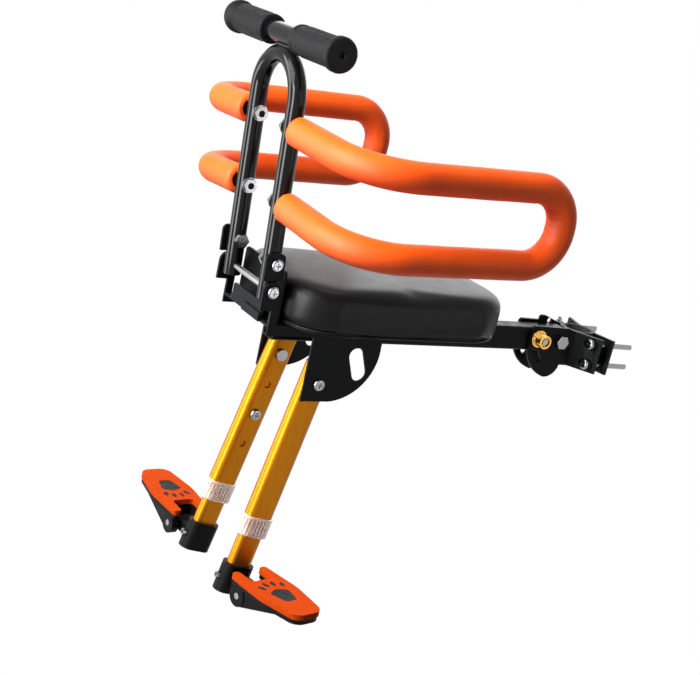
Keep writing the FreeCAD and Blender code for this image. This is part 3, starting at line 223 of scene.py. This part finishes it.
def noise_field(mat, scale, detail=3.0, stretch=(1, 1, 1)):
    """Noise in object space; stretch scales each axis, so brushed metal gets streaks."""
    where = node(mat, "ShaderNodeTexCoord")
    mapping = node(mat, "ShaderNodeMapping")
    mapping.inputs["Scale"].default_value = stretch
    field = node(mat, "ShaderNodeTexNoise")
    field.inputs["Scale"].default_value = scale
    field.inputs["Detail"].default_value = detail
    link(mat, where.outputs["Object"], mapping.inputs["Vector"])
    link(mat, mapping.outputs["Vector"], field.inputs["Vector"])
    return field


def mottle(mat, dark, light, scale, stretch=(1, 1, 1)):
    """Colour variation between two tones."""
    field = noise_field(mat, scale, 4.0, stretch)
    ramp = node(mat, "ShaderNodeValToRGB")
    ramp.color_ramp.elements[0].position = 0.3
    ramp.color_ramp.elements[1].position = 0.7
    ramp.color_ramp.elements[0].color = (*dark, 1)
    ramp.color_ramp.elements[1].color = (*light, 1)
    shader = mat.node_tree.nodes["Principled BSDF"]
    link(mat, field.outputs["Fac"], ramp.inputs["Fac"])
    link(mat, ramp.outputs["Color"], shader.inputs["Base Color"])


def vary_roughness(mat, low, high, scale, stretch=(1, 1, 1)):
    """Roughness that wanders between two values."""
    field = noise_field(mat, scale, 5.0, stretch)
    spread = node(mat, "ShaderNodeMapRange")
    spread.inputs["From Min"].default_value = 0.3
    spread.inputs["From Max"].default_value = 0.7
    spread.inputs["To Min"].default_value = low
    spread.inputs["To Max"].default_value = high
    shader = mat.node_tree.nodes["Principled BSDF"]
    link(mat, field.outputs["Fac"], spread.inputs["Value"])
    link(mat, spread.outputs["Result"], shader.inputs["Roughness"])


def grain(mat, scale, strength, depth, cells=False, stretch=(1, 1, 1)):
    """Fine surface relief: noise, or rounded cells as in grained leather."""
    if cells:
        where = node(mat, "ShaderNodeTexCoord")
        field = node(mat, "ShaderNodeTexVoronoi", feature="SMOOTH_F1")
        field.inputs["Scale"].default_value = scale
        link(mat, where.outputs["Object"], field.inputs["Vector"])
        height = field.outputs["Distance"]
    else:
        height = noise_field(mat, scale, 6.0, stretch).outputs["Fac"]
    bump = node(mat, "ShaderNodeBump")
    bump.inputs["Strength"].default_value = strength
    bump.inputs["Distance"].default_value = depth
    shader = mat.node_tree.nodes["Principled BSDF"]
    link(mat, height, bump.inputs["Height"])
    link(mat, bump.outputs["Normal"], shader.inputs["Normal"])


def make_materials():
    """One material for each slot of the record, and one near-black material for the studs: painted shade in
    the hollows of the guard nuts.
    """
    made = {}
    paint = new_material("gloss_black_paint", (0.003, 0.003, 0.0035), 0.12,
                         coat=0.08, coat_roughness=0.04, specular=0.14)
    vary_roughness(paint, 0.09, 0.16, 60)
    grain(paint, 900, 0.012, 0.0002)
    made["black_paint"] = paint

    satin = new_material("satin_black_sheet", (0.004, 0.0045, 0.005), 0.34, specular=0.07)
    vary_roughness(satin, 0.28, 0.42, 90)
    grain(satin, 1600, 0.10, 0.0002)
    made["black_sheet"] = satin

    grip = new_material("grip_rubber", (0.003, 0.003, 0.0035), 0.55, specular=0.12)
    vary_roughness(grip, 0.48, 0.64, 200)
    grain(grip, 2200, 0.22, 0.0003)
    made["grip_rubber"] = grip

    foam = new_material("orange_foam", (0.88, 0.085, 0.002), 0.55, specular=0.30)
    mottle(foam, (0.84, 0.078, 0.0015), (0.90, 0.093, 0.002), 35)
    vary_roughness(foam, 0.50, 0.60, 120)
    grain(foam, 1500, 0.16, 0.0004)
    made["orange_foam"] = foam

    zinc = new_material("bright_zinc", (0.30, 0.30, 0.31), 0.16, metallic=1.0)
    vary_roughness(zinc, 0.10, 0.24, 500)
    grain(zinc, 1200, 0.05, 0.0002)
    made["zinc"] = zinc

    steel = new_material("turned_steel", (0.36, 0.36, 0.37), 0.24, metallic=1.0)
    vary_roughness(steel, 0.22, 0.36, 800, (1, 0.05, 1))
    made["rod_steel"] = steel

    cover = new_material("leatherette", (0.003, 0.003, 0.0035), 0.36, specular=0.14)
    vary_roughness(cover, 0.33, 0.38, 70)
    grain(cover, 900, 0.12, 0.0003, cells=True)
    made["cushion_cover"] = cover

    board = new_material("black_board", (0.02, 0.02, 0.02), 0.6)
    grain(board, 600, 0.2, 0.0004)
    made["board"] = board

    gold = new_material("gold_anodised", (0.36, 0.125, 0.002), 0.30, metallic=0.90)
    mottle(gold, (0.34, 0.116, 0.0015), (0.38, 0.134, 0.0025), 240, (1, 1, 0.04))
    vary_roughness(gold, 0.36, 0.44, 400, (1, 1, 0.03))
    grain(gold, 900, 0.02, 0.0002, stretch=(1, 1, 0.03))
    made["gold_tube"] = gold

    clear = new_material("milky_plastic", (0.66, 0.47, 0.38), 0.30, coat=0.2)
    clear.node_tree.nodes["Principled BSDF"].inputs["Transmission Weight"].default_value = 0.35
    mottle(clear, (0.62, 0.43, 0.34), (0.70, 0.51, 0.42), 150)
    made["clear_plastic"] = clear

    black = new_material("black_plastic", (0.004, 0.004, 0.0045), 0.42, specular=0.06)
    vary_roughness(black, 0.38, 0.50, 150)
    grain(black, 1800, 0.18, 0.0003)
    made["black_plastic"] = black

    orange = new_material("orange_plastic", (0.40, 0.040, 0.002), 0.7, specular=0.03)
    mottle(orange, (0.385, 0.038, 0.0015), (0.415, 0.042, 0.002), 80)
    vary_roughness(orange, 0.62, 0.74, 200)
    grain(orange, 1800, 0.14, 0.0003)
    made["orange_plastic"] = orange

    # Near-black studs: painted shade, so the hollow of each guard nut reads dark.
    stud_shade = new_material("painted_shade_stud_steel", (0.006, 0.006, 0.007), 0.4, specular=0.1)
    vary_roughness(stud_shade, 0.34, 0.48, 400)
    grain(stud_shade, 1500, 0.10, 0.0002)
    made["studs_painted_shade"] = stud_shade

    liner = new_material("liner_rubber", (0.02, 0.02, 0.02), 0.7)
    grain(liner, 1500, 0.3, 0.0004)
    made["liner_rubber"] = liner

    brass = new_material("gold_knob", (0.78, 0.47, 0.12), 0.24, metallic=1.0)
    vary_roughness(brass, 0.18, 0.30, 600)
    grain(brass, 900, 0.04, 0.0002)
    made["brass"] = brass
    return made


materials = make_materials()
slot_of = {s["node"]: s["material_slot"] for s in frame["record"]["subparts"]}
body_of = {n: b for b, ns in frame["record"]["behaviour"]["bodies"].items() for n in ns}


def wear(obj, slot):
    """Gives an object the material of a slot."""
    obj.data.materials.clear()
    obj.data.materials.append(materials[slot])


for name, obj in nodes.items():
    wear(obj, slot_of[name])
# The studs get the near-black material: painted shade in the hollows of the guard nuts.
wear(nodes["guard_studs"], "studs_painted_shade")


# New pieces

def new_piece(name, mesh, slot, body, *replaced):
    """Adds a mesh as a piece that rides on a body and stands for the CAD nodes it replaces, if any."""
    obj = bpy.data.objects.new(name, mesh)
    bpy.context.scene.collection.objects.link(obj)
    wear(obj, slot)
    mesh.shade_smooth()
    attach(obj, body)
    if replaced:
        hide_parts(*replaced)
    return obj


def mesh_from(name, verts, faces):
    """Mesh from points and faces."""
    mesh = bpy.data.meshes.new(name)
    mesh.from_pydata([tuple(v) for v in verts], [], faces)
    mesh.update()
    return mesh


def rings_mesh(name, rings, closed=False):
    """Skin over rings of points; the rings are joined in order, the last to the first if closed."""
    count = len(rings[0])
    verts = [p for ring in rings for p in ring]
    faces = []
    last = len(rings) if closed else len(rings) - 1
    for i in range(last):
        a, b = i * count, ((i + 1) % len(rings)) * count
        for j in range(count):
            k = (j + 1) % count
            faces.append((a + j, a + k, b + k, b + j))
    return mesh_from(name, verts, faces)


def softened(name, width, angle=32, segments=2):
    """Copy of a rigid CAD node with its edges rounded, shown in place of the node."""
    source = nodes[name]
    mesh = source.data.copy()
    mesh.name = name + "_rounded"
    work = bmesh.new()
    work.from_mesh(mesh)
    bmesh.ops.remove_doubles(work, verts=work.verts, dist=MERGE_GAP)
    bmesh.ops.dissolve_limit(work, angle_limit=math.radians(FLAT_ANGLE), verts=work.verts, edges=work.edges)
    work.to_mesh(mesh)
    work.free()
    obj = new_piece(name + "_rounded", mesh, slot_of[name], body_of[name], name)
    mesh.set_sharp_from_angle(angle=math.radians(angle))
    bevel = obj.modifiers.new("edge_round", "BEVEL")
    bevel.width = width
    bevel.segments = segments
    bevel.limit_method = "ANGLE"
    bevel.angle_limit = math.radians(angle)
    bevel.use_clamp_overlap = True
    bevel.harden_normals = True


# Foam sleeves of the side guards

def rounded_route(corners, radii, step):
    """Points along straight runs and tangent arcs, about step apart, each with its bend's inward side."""
    route = []
    arcs = []
    for i in range(1, len(corners) - 1):
        back = (corners[i - 1] - corners[i]).normalized()
        ahead = (corners[i + 1] - corners[i]).normalized()
        half = back.angle(ahead) / 2
        reach = radii[i] / math.tan(half)
        centre = corners[i] + (back + ahead).normalized() * (radii[i] / math.sin(half))
        arcs.append((corners[i] + back * reach, corners[i] + ahead * reach, centre, math.pi - 2 * half))
    position = corners[0]
    for begin, end, centre, turn in arcs:
        run = (begin - position).length
        for k in range(max(1, round(run / step))):
            route.append((position.lerp(begin, k / max(1, round(run / step))), None))
        a, b = begin - centre, end - centre
        count = max(4, round(turn * a.length / step))
        axis = a.cross(b).normalized()
        for k in range(count):
            spoke = Matrix.Rotation(turn * k / count, 3, axis) @ a
            route.append((centre + spoke, (-spoke).normalized()))
        position = end
    run = (corners[-1] - position).length
    count = max(1, round(run / step))
    for k in range(count + 1):
        route.append((position.lerp(corners[-1], k / count), None))
    return route


def guard_route(side, setback):
    """Route of a side guard from its upper end to its lower one, cut back at both ends."""
    ends = []
    for height in GUARD_END_HEIGHTS:
        ends.append(Vector((-math.sin(LEAN) * height, side * GUARD_END_OUT, math.cos(LEAN) * height)))
    out = side * GUARD_OUT
    top_x, top_z = GUARD_FRONT_TOP
    foot_x, foot_z = GUARD_FRONT_FOOT
    corners = [
        ends[0],
        Vector((top_x, out, top_z)),
        Vector((GUARD_REAR, out, top_z + (GUARD_REAR - top_x) * GUARD_RISE)),
        Vector((GUARD_REAR, out, foot_z + (GUARD_REAR - foot_x) * GUARD_RISE)),
        Vector((foot_x, out, foot_z)),
        ends[1],
    ]
    corners[0] = corners[0] + (corners[1] - corners[0]).normalized() * setback
    corners[-1] = corners[-1] + (corners[-2] - corners[-1]).normalized() * setback
    bends = [0, GUARD_FRONT_BEND, GUARD_REAR_BEND, GUARD_REAR_BEND, GUARD_FRONT_BEND, 0]
    return rounded_route(corners, bends, FOAM_STEP)


def make_foam(name, side):
    """Foam tube with soft end edges, a slightly uneven skin and creases inside its bends."""
    route = guard_route(side, FOAM_SETBACK)
    points = [p for p, _ in route]
    rings, inner = [], []
    tangent = (points[1] - points[0]).normalized()
    across = tangent.cross(Vector((0, 0, 1))).normalized()
    travelled = 0.0
    total = sum((points[i + 1] - points[i]).length for i in range(len(points) - 1))
    for i, (point, inward) in enumerate(route):
        ahead = points[min(i + 1, len(points) - 1)] - points[max(i - 1, 0)]
        turned = tangent.rotation_difference(ahead.normalized())
        across = (turned @ across).normalized()
        tangent = ahead.normalized()
        other = tangent.cross(across).normalized()
        if i:
            travelled += (point - points[i - 1]).length
        edge = min(travelled, total - travelled)
        ring, hole = [], []
        for j in range(FOAM_SEGMENTS):
            angle = 2 * math.pi * j / FOAM_SEGMENTS
            spoke = across * math.cos(angle) + other * math.sin(angle)
            radius = FOAM_RADIUS
            radius += UNEVEN_DEPTH * noise.noise((point + spoke * UNEVEN_REACH) * UNEVEN_SCALE)
            if inward is not None:
                facing = max(0.0, spoke.dot(inward))
                drift = CREASE_DRIFT * noise.noise(point * CREASE_SCALE)
                crease = 0.5 + 0.5 * math.sin(travelled * 2 * math.pi / CREASE_PITCH + drift)
                radius -= CREASE_DEPTH * facing ** 3 * crease
            if edge < FOAM_EDGE:
                radius -= FOAM_EDGE - math.sqrt(max(0.0, FOAM_EDGE ** 2 - (FOAM_EDGE - edge) ** 2))
            ring.append(PIVOT + (point + spoke * radius) * MM)
            hole.append(PIVOT + (point + spoke * FOAM_BORE) * MM)
        rings.append(ring)
        inner.append(hole)
    skin = rings + inner[::-1]
    mesh = rings_mesh(name + "_foam_sleeve", skin, closed=True)
    foam = new_piece(name + "_foam_sleeve", mesh, "orange_foam", "handrail", name + "_guard_foam")
    mesh.set_sharp_from_angle(angle=math.radians(50))


# Grips

def rib_height(along, angle):
    """Height of the ribs above the barrel, at a place along the grip and an angle round it."""
    if not RIB_START < along < RIB_END:
        return 0.0
    up = abs(math.atan2(math.sin(angle), math.cos(angle)))
    panel = min(up, math.pi - up)
    fan = FAN_START + FAN_GROWTH * min(1.0, (along - RIB_START) / FAN_LENGTH)
    if panel >= fan:
        return 0.0
    fade = min(1.0, (fan - panel) / FAN_SOFT_EDGE)
    fade *= min(1.0, (along - RIB_START) / RIB_RUN_OUT) * min(1.0, (RIB_END - along) / RIB_RUN_OUT)
    return RIB_HEIGHT * fade * (0.5 + 0.5 * math.cos(angle * RIB_COUNT))


def make_grip(name, side):
    """Turned rubber grip with flanges, two fans of fine ribs and a dished end."""
    barrel_length = GRIP_BARREL_END - GRIP_BARREL_START
    profile = list(GRIP_FLANGE)
    for k in range(1, GRIP_STATIONS + 1):
        profile.append((GRIP_BARREL_START + k * barrel_length / GRIP_STATIONS, GRIP_RADIUS))
    profile += GRIP_END
    bar = Vector((0, 0, BAR_LEVEL))
    rings = []
    for along, radius in profile:
        ring = []
        for j in range(GRIP_SEGMENTS):
            angle = 2 * math.pi * j / GRIP_SEGMENTS
            r = radius + rib_height(along, angle)
            local = Vector((math.sin(angle) * r, side * along, math.cos(angle) * r))
            ring.append(PIVOT + (LEANED @ (bar + local)) * MM)
        rings.append(ring)
    mesh = rings_mesh(name + "_ribbed_grip", rings)
    work = bmesh.new()
    work.from_mesh(mesh)
    bmesh.ops.holes_fill(work, edges=[e for e in work.edges if e.is_boundary])
    bmesh.ops.recalc_face_normals(work, faces=work.faces)
    work.to_mesh(mesh)
    work.free()
    new_piece(name + "_ribbed_grip", mesh, "grip_rubber", "handrail", name + "_grip")
    mesh.set_sharp_from_angle(angle=math.radians(55))


# Weld of the handrail

def make_weld():
    """Rippled bead round the place where the cross bar sits on the apex of the U."""
    from_tube = RAIL_RADIUS + WELD_RADIUS - WELD_SINK
    from_bar = BAR_RADIUS + WELD_RADIUS - WELD_SINK
    fall = from_tube + from_bar - (BAR_LEVEL - RAIL_APEX)
    reach = math.sqrt(RAIL_BEND ** 2 - (RAIL_BEND - fall) ** 2)
    loop = []
    for k in range(WELD_STATIONS):
        angle = 2 * math.pi * k / WELD_STATIONS
        y = reach * math.cos(angle)
        centre = RAIL_APEX - RAIL_BEND + math.sqrt(RAIL_BEND ** 2 - y ** 2)
        apart = BAR_LEVEL - centre
        rise = (from_tube ** 2 - from_bar ** 2 + apart ** 2) / (2 * apart)
        x = math.copysign(math.sqrt(max(0.0, from_tube ** 2 - rise ** 2)), math.sin(angle))
        loop.append(Vector((x, y, centre + rise)))
    rings = []
    for k, p in enumerate(loop):
        along = (loop[(k + 1) % WELD_STATIONS] - loop[k - 1]).normalized()
        out = along.cross(Vector((0, 0, 1))).normalized()
        up = out.cross(along)
        radius = WELD_RADIUS * (0.86 + 0.14 * math.cos(2 * math.pi * k * WELD_RIPPLES / WELD_STATIONS))
        ring = []
        for j in range(WELD_SEGMENTS):
            a = 2 * math.pi * j / WELD_SEGMENTS
            spoke = (out * math.cos(a) + up * math.sin(a)) * radius
            ring.append(PIVOT + (LEANED @ (p + spoke)) * MM)
        rings.append(ring)
    new_piece("handrail_weld", rings_mesh("handrail_weld", rings, closed=True), "black_paint", "handrail")


# Cushion

def make_cushion():
    """Swollen pad from the CAD solid by cloth with pressure, flat underneath, with an edge bead."""
    source = nodes["seat_cushion"].data.copy()
    low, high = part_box("seat_cushion")
    middle = (low + high) / 2
    obj = bpy.data.objects.new("cushion_pad", source)
    bpy.context.scene.collection.objects.link(obj)
    for v in source.vertices:
        v.co.z = low.z + (v.co.z - low.z) * PAD_START_HEIGHT
    remesh = obj.modifiers.new("voxels", "REMESH")
    remesh.mode = "VOXEL"
    remesh.voxel_size = PAD_VOXEL
    bpy.context.view_layer.update()
    mesh = bpy.data.meshes.new_from_object(obj.evaluated_get(bpy.context.evaluated_depsgraph_get()))
    bpy.data.objects.remove(obj)
    pad = bpy.data.objects.new("cushion_cover", mesh)
    bpy.context.scene.collection.objects.link(pad)
    rest = [v.co.copy() for v in mesh.vertices]
    cloth = pad.modifiers.new("cloth", "CLOTH")
    cloth.settings.use_pressure = True
    cloth.settings.uniform_pressure_force = PAD_PRESSURE
    cloth.settings.effector_weights.gravity = 0.0
    cloth.settings.tension_stiffness = PAD_STRETCH_STIFFNESS
    cloth.settings.compression_stiffness = PAD_STRETCH_STIFFNESS
    cloth.settings.bending_stiffness = PAD_BEND_STIFFNESS
    for f in range(1, PAD_FRAMES + 1):
        bpy.context.scene.frame_set(f)
    dg = bpy.context.evaluated_depsgraph_get()
    swollen = [v.co.copy() for v in pad.evaluated_get(dg).data.vertices]
    pad.modifiers.clear()
    bpy.context.scene.frame_set(1)
    for v, start, end in zip(mesh.vertices, rest, swollen):
        move = end - start
        if move.length > PAD_MOST_MOVE:
            move *= PAD_MOST_MOVE / move.length
        v.co = start + move
    for v in mesh.vertices:
        v.co.x = min(max(v.co.x, low.x - PAD_SIDE_PROUD), high.x + PAD_SIDE_PROUD)
        v.co.y = min(max(v.co.y, low.y - PAD_SIDE_PROUD), high.y + PAD_SIDE_PROUD)
        v.co.z = min(max(v.co.z, low.z), high.z + PAD_TOP_PROUD)
        along = abs(v.co.x - middle.x) / (high.x - middle.x)
        across = abs(v.co.y - middle.y) / (high.y - middle.y)
        crown = max(0.0, 1 - along ** 6) * max(0.0, 1 - across ** 4)
        v.co.z += PAD_CROWN * crown * max(0.0, (v.co.z - middle.z) / (high.z - middle.z))
    smooth = pad.modifiers.new("even", "SMOOTH")
    smooth.iterations = PAD_SMOOTHINGS
    smooth.factor = 0.5
    finer = pad.modifiers.new("finer", "SUBSURF")
    finer.levels = finer.render_levels = 1
    wear(pad, "cushion_cover")
    mesh.shade_smooth()
    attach(pad, "seat")
    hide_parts("seat_cushion")
    make_bead(low, high)


def outline_points(x0, x1, half, corner, count):
    """Rounded rectangle in plan, as points."""
    points = []
    for cx, cy, start in ((x1 - corner, half - corner, 0), (x0 + corner, half - corner, 90),
                          (x0 + corner, corner - half, 180), (x1 - corner, corner - half, 270)):
        for k in range(count + 1):
            a = math.radians(start + 90 * k / count)
            points.append(Vector((cx + corner * math.cos(a), cy + corner * math.sin(a), 0)))
    return points


def make_bead(low, high):
    """Thin edge bead where the cover is drawn round the board."""
    outline = outline_points(low.x + BEAD_INSET, high.x - BEAD_INSET, high.y - BEAD_INSET,
                             BEAD_CORNER, BEAD_CORNER_STEPS)
    rings = []
    count = len(outline)
    for i, p in enumerate(outline):
        along = (outline[(i + 1) % count] - outline[i - 1]).normalized()
        out = Vector((along.y, -along.x, 0))
        ring = []
        for j in range(BEAD_SEGMENTS):
            a = 2 * math.pi * j / BEAD_SEGMENTS
            level = Vector((0, 0, low.z + BEAD_HEIGHT + math.sin(a) * BEAD_RADIUS))
            ring.append(p + out * math.cos(a) * BEAD_RADIUS + level)
        rings.append(ring)
    new_piece("cushion_bead", rings_mesh("cushion_bead", rings, closed=True), "black_sheet", "seat")


# Clear bushes of the legs

def stadium_points(long, thick, count):
    """Flat-oval outline with its outward directions, evenly spaced along it."""
    half, r = (long - thick) / 2, thick / 2
    length = 4 * half + 2 * math.pi * r
    points = []
    for k in range(count):
        s = length * k / count
        if s < 2 * half:
            points.append((Vector((half - s, r, 0)), Vector((0, 1, 0))))
        elif s < 2 * half + math.pi * r:
            a = math.pi / 2 + (s - 2 * half) / r
            out = Vector((math.cos(a), math.sin(a), 0))
            points.append((Vector((-half, 0, 0)) + out * r, out))
        elif s < 4 * half + math.pi * r:
            points.append((Vector((-half + s - 2 * half - math.pi * r, -r, 0)), Vector((0, -1, 0))))
        else:
            a = -math.pi / 2 + (s - 4 * half - math.pi * r) / r
            out = Vector((math.cos(a), math.sin(a), 0))
            points.append((Vector((half, 0, 0)) + out * r, out))
    return points


def make_bush(name, side):
    """Ribbed milky sleeve under the end of an outer leg tube."""
    outline = stadium_points(*BUSH_OUTSIDE, BUSH_SEGMENTS)
    bore = stadium_points(*BUSH_INSIDE, BUSH_SEGMENTS)
    turn = Matrix.Rotation(math.radians(LEG_LEAN[name]), 3, "Y")
    rearward, outward, height = LEG_SCREW
    screw = Vector((rearward, side * outward, height))

    def ring(points, level, inset=0.0, ribbed=False):
        made = []
        for k, (p, out) in enumerate(points):
            wave = 0.5 + 0.5 * math.cos(2 * math.pi * k / BUSH_RIB_SEGMENTS)
            depth = inset + (BUSH_RIB_DEPTH * wave if ribbed else 0.0)
            made.append(PIVOT + (screw + turn @ (p - out * depth + Vector((0, 0, level)))) * MM)
        return made

    skin = [ring(outline, level, inset, ribbed) for level, inset, ribbed in BUSH_PROFILE]
    top, bottom = BUSH_PROFILE[0][0], BUSH_PROFILE[-1][0]
    rings = [ring(bore, top), *skin, ring(bore, bottom)]
    mesh = rings_mesh(name + "_ribbed_bush", rings, closed=True)
    new_piece(name + "_ribbed_bush", mesh, "clear_plastic", name + "_leg", name + "_leg_bush")
    mesh.set_sharp_from_angle(angle=math.radians(50))


for side_name, side_sign in SIDES.items():
    make_foam(side_name, side_sign)
    make_grip(side_name, side_sign)
    make_bush(side_name, side_sign)
make_weld()
make_cushion()

# Rigid nodes with rounded edges: the width of the round in millimetres
rounded_nodes = {
    "seat_bracket": 0.5, "left_hinge_cheek": 0.5, "right_hinge_cheek": 0.5, "clamp_front_jaw": 0.5,
    "clamp_rear_jaw": 0.5, "left_pedal_pad": 1.1, "right_pedal_pad": 1.1, "left_pedal_tray": 0.8,
    "right_pedal_tray": 0.8, "left_pedal_collar": 1.0, "right_pedal_collar": 1.0, "lock_knob": 0.4,
    "tilt_bolt": 0.4, "guard_nuts": 0.35, "clamp_nuts": 0.3,
}
for name, width in rounded_nodes.items():
    softened(name, width * MM)


# Stage, light and camera

def background_seen(tree):
    """Output that is 1 for camera, glossy and transmission rays, which see the white background."""
    path = tree.nodes.new("ShaderNodeLightPath")
    direct = path.outputs["Is Camera Ray"]
    for kind in ("Is Glossy Ray", "Is Transmission Ray"):
        either = tree.nodes.new("ShaderNodeMath")
        either.operation = "MAXIMUM"
        tree.links.new(direct, either.inputs[0])
        tree.links.new(path.outputs[kind], either.inputs[1])
        direct = either.outputs["Value"]
    return direct


def make_floor():
    """Pale floor: white where it is seen, plain grey where it throws light back."""
    level = cad_low.z - FLOOR_DROP
    corners = [(x * FLOOR_HALF, y * FLOOR_HALF, level) for x, y in ((-1, -1), (1, -1), (1, 1), (-1, 1))]
    mesh = mesh_from("floor", corners, [(0, 1, 2, 3)])
    floor = bpy.data.objects.new("floor", mesh)
    bpy.context.scene.collection.objects.link(floor)
    mat = bpy.data.materials.new("pale_floor")
    mat.use_nodes = True
    tree = mat.node_tree
    tree.nodes.clear()
    out = tree.nodes.new("ShaderNodeOutputMaterial")
    mix = tree.nodes.new("ShaderNodeMixShader")
    diffuse = tree.nodes.new("ShaderNodeBsdfDiffuse")
    diffuse.inputs["Color"].default_value = (0.22, 0.22, 0.22, 1)
    white = tree.nodes.new("ShaderNodeEmission")
    white.inputs["Strength"].default_value = 1.0
    tree.links.new(background_seen(tree), mix.inputs["Fac"])
    tree.links.new(diffuse.outputs["BSDF"], mix.inputs[1])
    tree.links.new(white.outputs["Emission"], mix.inputs[2])
    tree.links.new(mix.outputs["Shader"], out.inputs["Surface"])
    mesh.materials.append(mat)


def make_world():
    """White where it is seen, and a weak even light on the object."""
    world = bpy.data.worlds.new("studio")
    bpy.context.scene.world = world
    world.use_nodes = True
    tree = world.node_tree
    tree.nodes.clear()
    out = tree.nodes.new("ShaderNodeOutputWorld")
    mix = tree.nodes.new("ShaderNodeMixShader")
    soft = tree.nodes.new("ShaderNodeBackground")
    soft.inputs["Color"].default_value = (1, 1, 1, 1)
    soft.inputs["Strength"].default_value = 0.05
    seen = tree.nodes.new("ShaderNodeBackground")
    seen.inputs["Color"].default_value = (1, 1, 1, 1)
    seen.inputs["Strength"].default_value = 1.0
    tree.links.new(background_seen(tree), mix.inputs["Fac"])
    tree.links.new(soft.outputs["Background"], mix.inputs[1])
    tree.links.new(seen.outputs["Background"], mix.inputs[2])
    tree.links.new(mix.outputs["Shader"], out.inputs["Surface"])


def area_light(name, place, aim, width, height, power, diffuse=True, gloss=True):
    """Rectangular lamp in metres and watts; it may light surfaces, show in reflections, or both."""
    data = bpy.data.lights.new(name, "AREA")
    data.shape = "RECTANGLE"
    data.size = width
    data.size_y = height
    data.energy = power
    obj = bpy.data.objects.new(name, data)
    bpy.context.scene.collection.objects.link(obj)
    obj.location = place
    obj.rotation_mode = "QUATERNION"
    obj.rotation_quaternion = (Vector(aim) - Vector(place)).to_track_quat("-Z", "Y")
    obj.visible_diffuse = diffuse
    obj.visible_glossy = gloss


def make_camera():
    """Camera at the photograph's viewing angle, in the photograph's frame."""
    turn, rise, roll = math.radians(VIEW_TURN), math.radians(VIEW_RISE), math.radians(VIEW_ROLL)
    back = Vector((math.sin(turn) * math.cos(rise), -math.cos(turn) * math.cos(rise), math.sin(rise)))
    right = Vector((math.cos(turn), math.sin(turn), 0))
    up = back.cross(right)
    across = right * math.cos(roll) + up * math.sin(roll)
    above = up * math.cos(roll) - right * math.sin(roll)
    place = across * VIEW_RIGHT + above * VIEW_UP + back * VIEW_BACK
    data = bpy.data.cameras.new("photo_view")
    data.sensor_fit = "HORIZONTAL"
    data.sensor_width = VIEW_SENSOR
    data.lens = VIEW_FOCAL_PIXELS * VIEW_SENSOR / VIEW_FRAME_PIXELS
    data.clip_start = 0.01
    data.clip_end = 100
    camera = bpy.data.objects.new("photo_view", data)
    bpy.context.scene.collection.objects.link(camera)
    camera.rotation_mode = "QUATERNION"
    camera.rotation_quaternion = Matrix((across, above, back)).transposed().to_quaternion()
    camera.location = PIVOT + place * MM
    bpy.context.scene.camera = camera


make_floor()
make_world()
area_light("key", KEY_PLACE, KEY_TARGET, 0.85, 0.85, 62, gloss=False)
area_light("top", (-0.2, 0.1, 1.6), LIGHT_TARGET, 1.2, 0.8, 6)
area_light("back", (1.05, 1.65, 0.80), LIGHT_TARGET, 3.2, 1.3, 22)
area_light("key_panel", KEY_PLACE, LIGHT_TARGET, 0.85, 0.85, 20, diffuse=False)
area_light("left_panel", (-1.50, -0.35, 0.12), LIGHT_TARGET, 0.45, 0.9, 26, diffuse=False)
area_light("front_panel", (-1.45, 0.75, 0.15), LIGHT_TARGET, 0.5, 1.4, 22, diffuse=False)
area_light("right_strip", (0.55, -1.6, 0.25), LIGHT_TARGET, 0.14, 1.5, 3)
make_camera()
bpy.context.scene.view_settings.view_transform = "Standard"
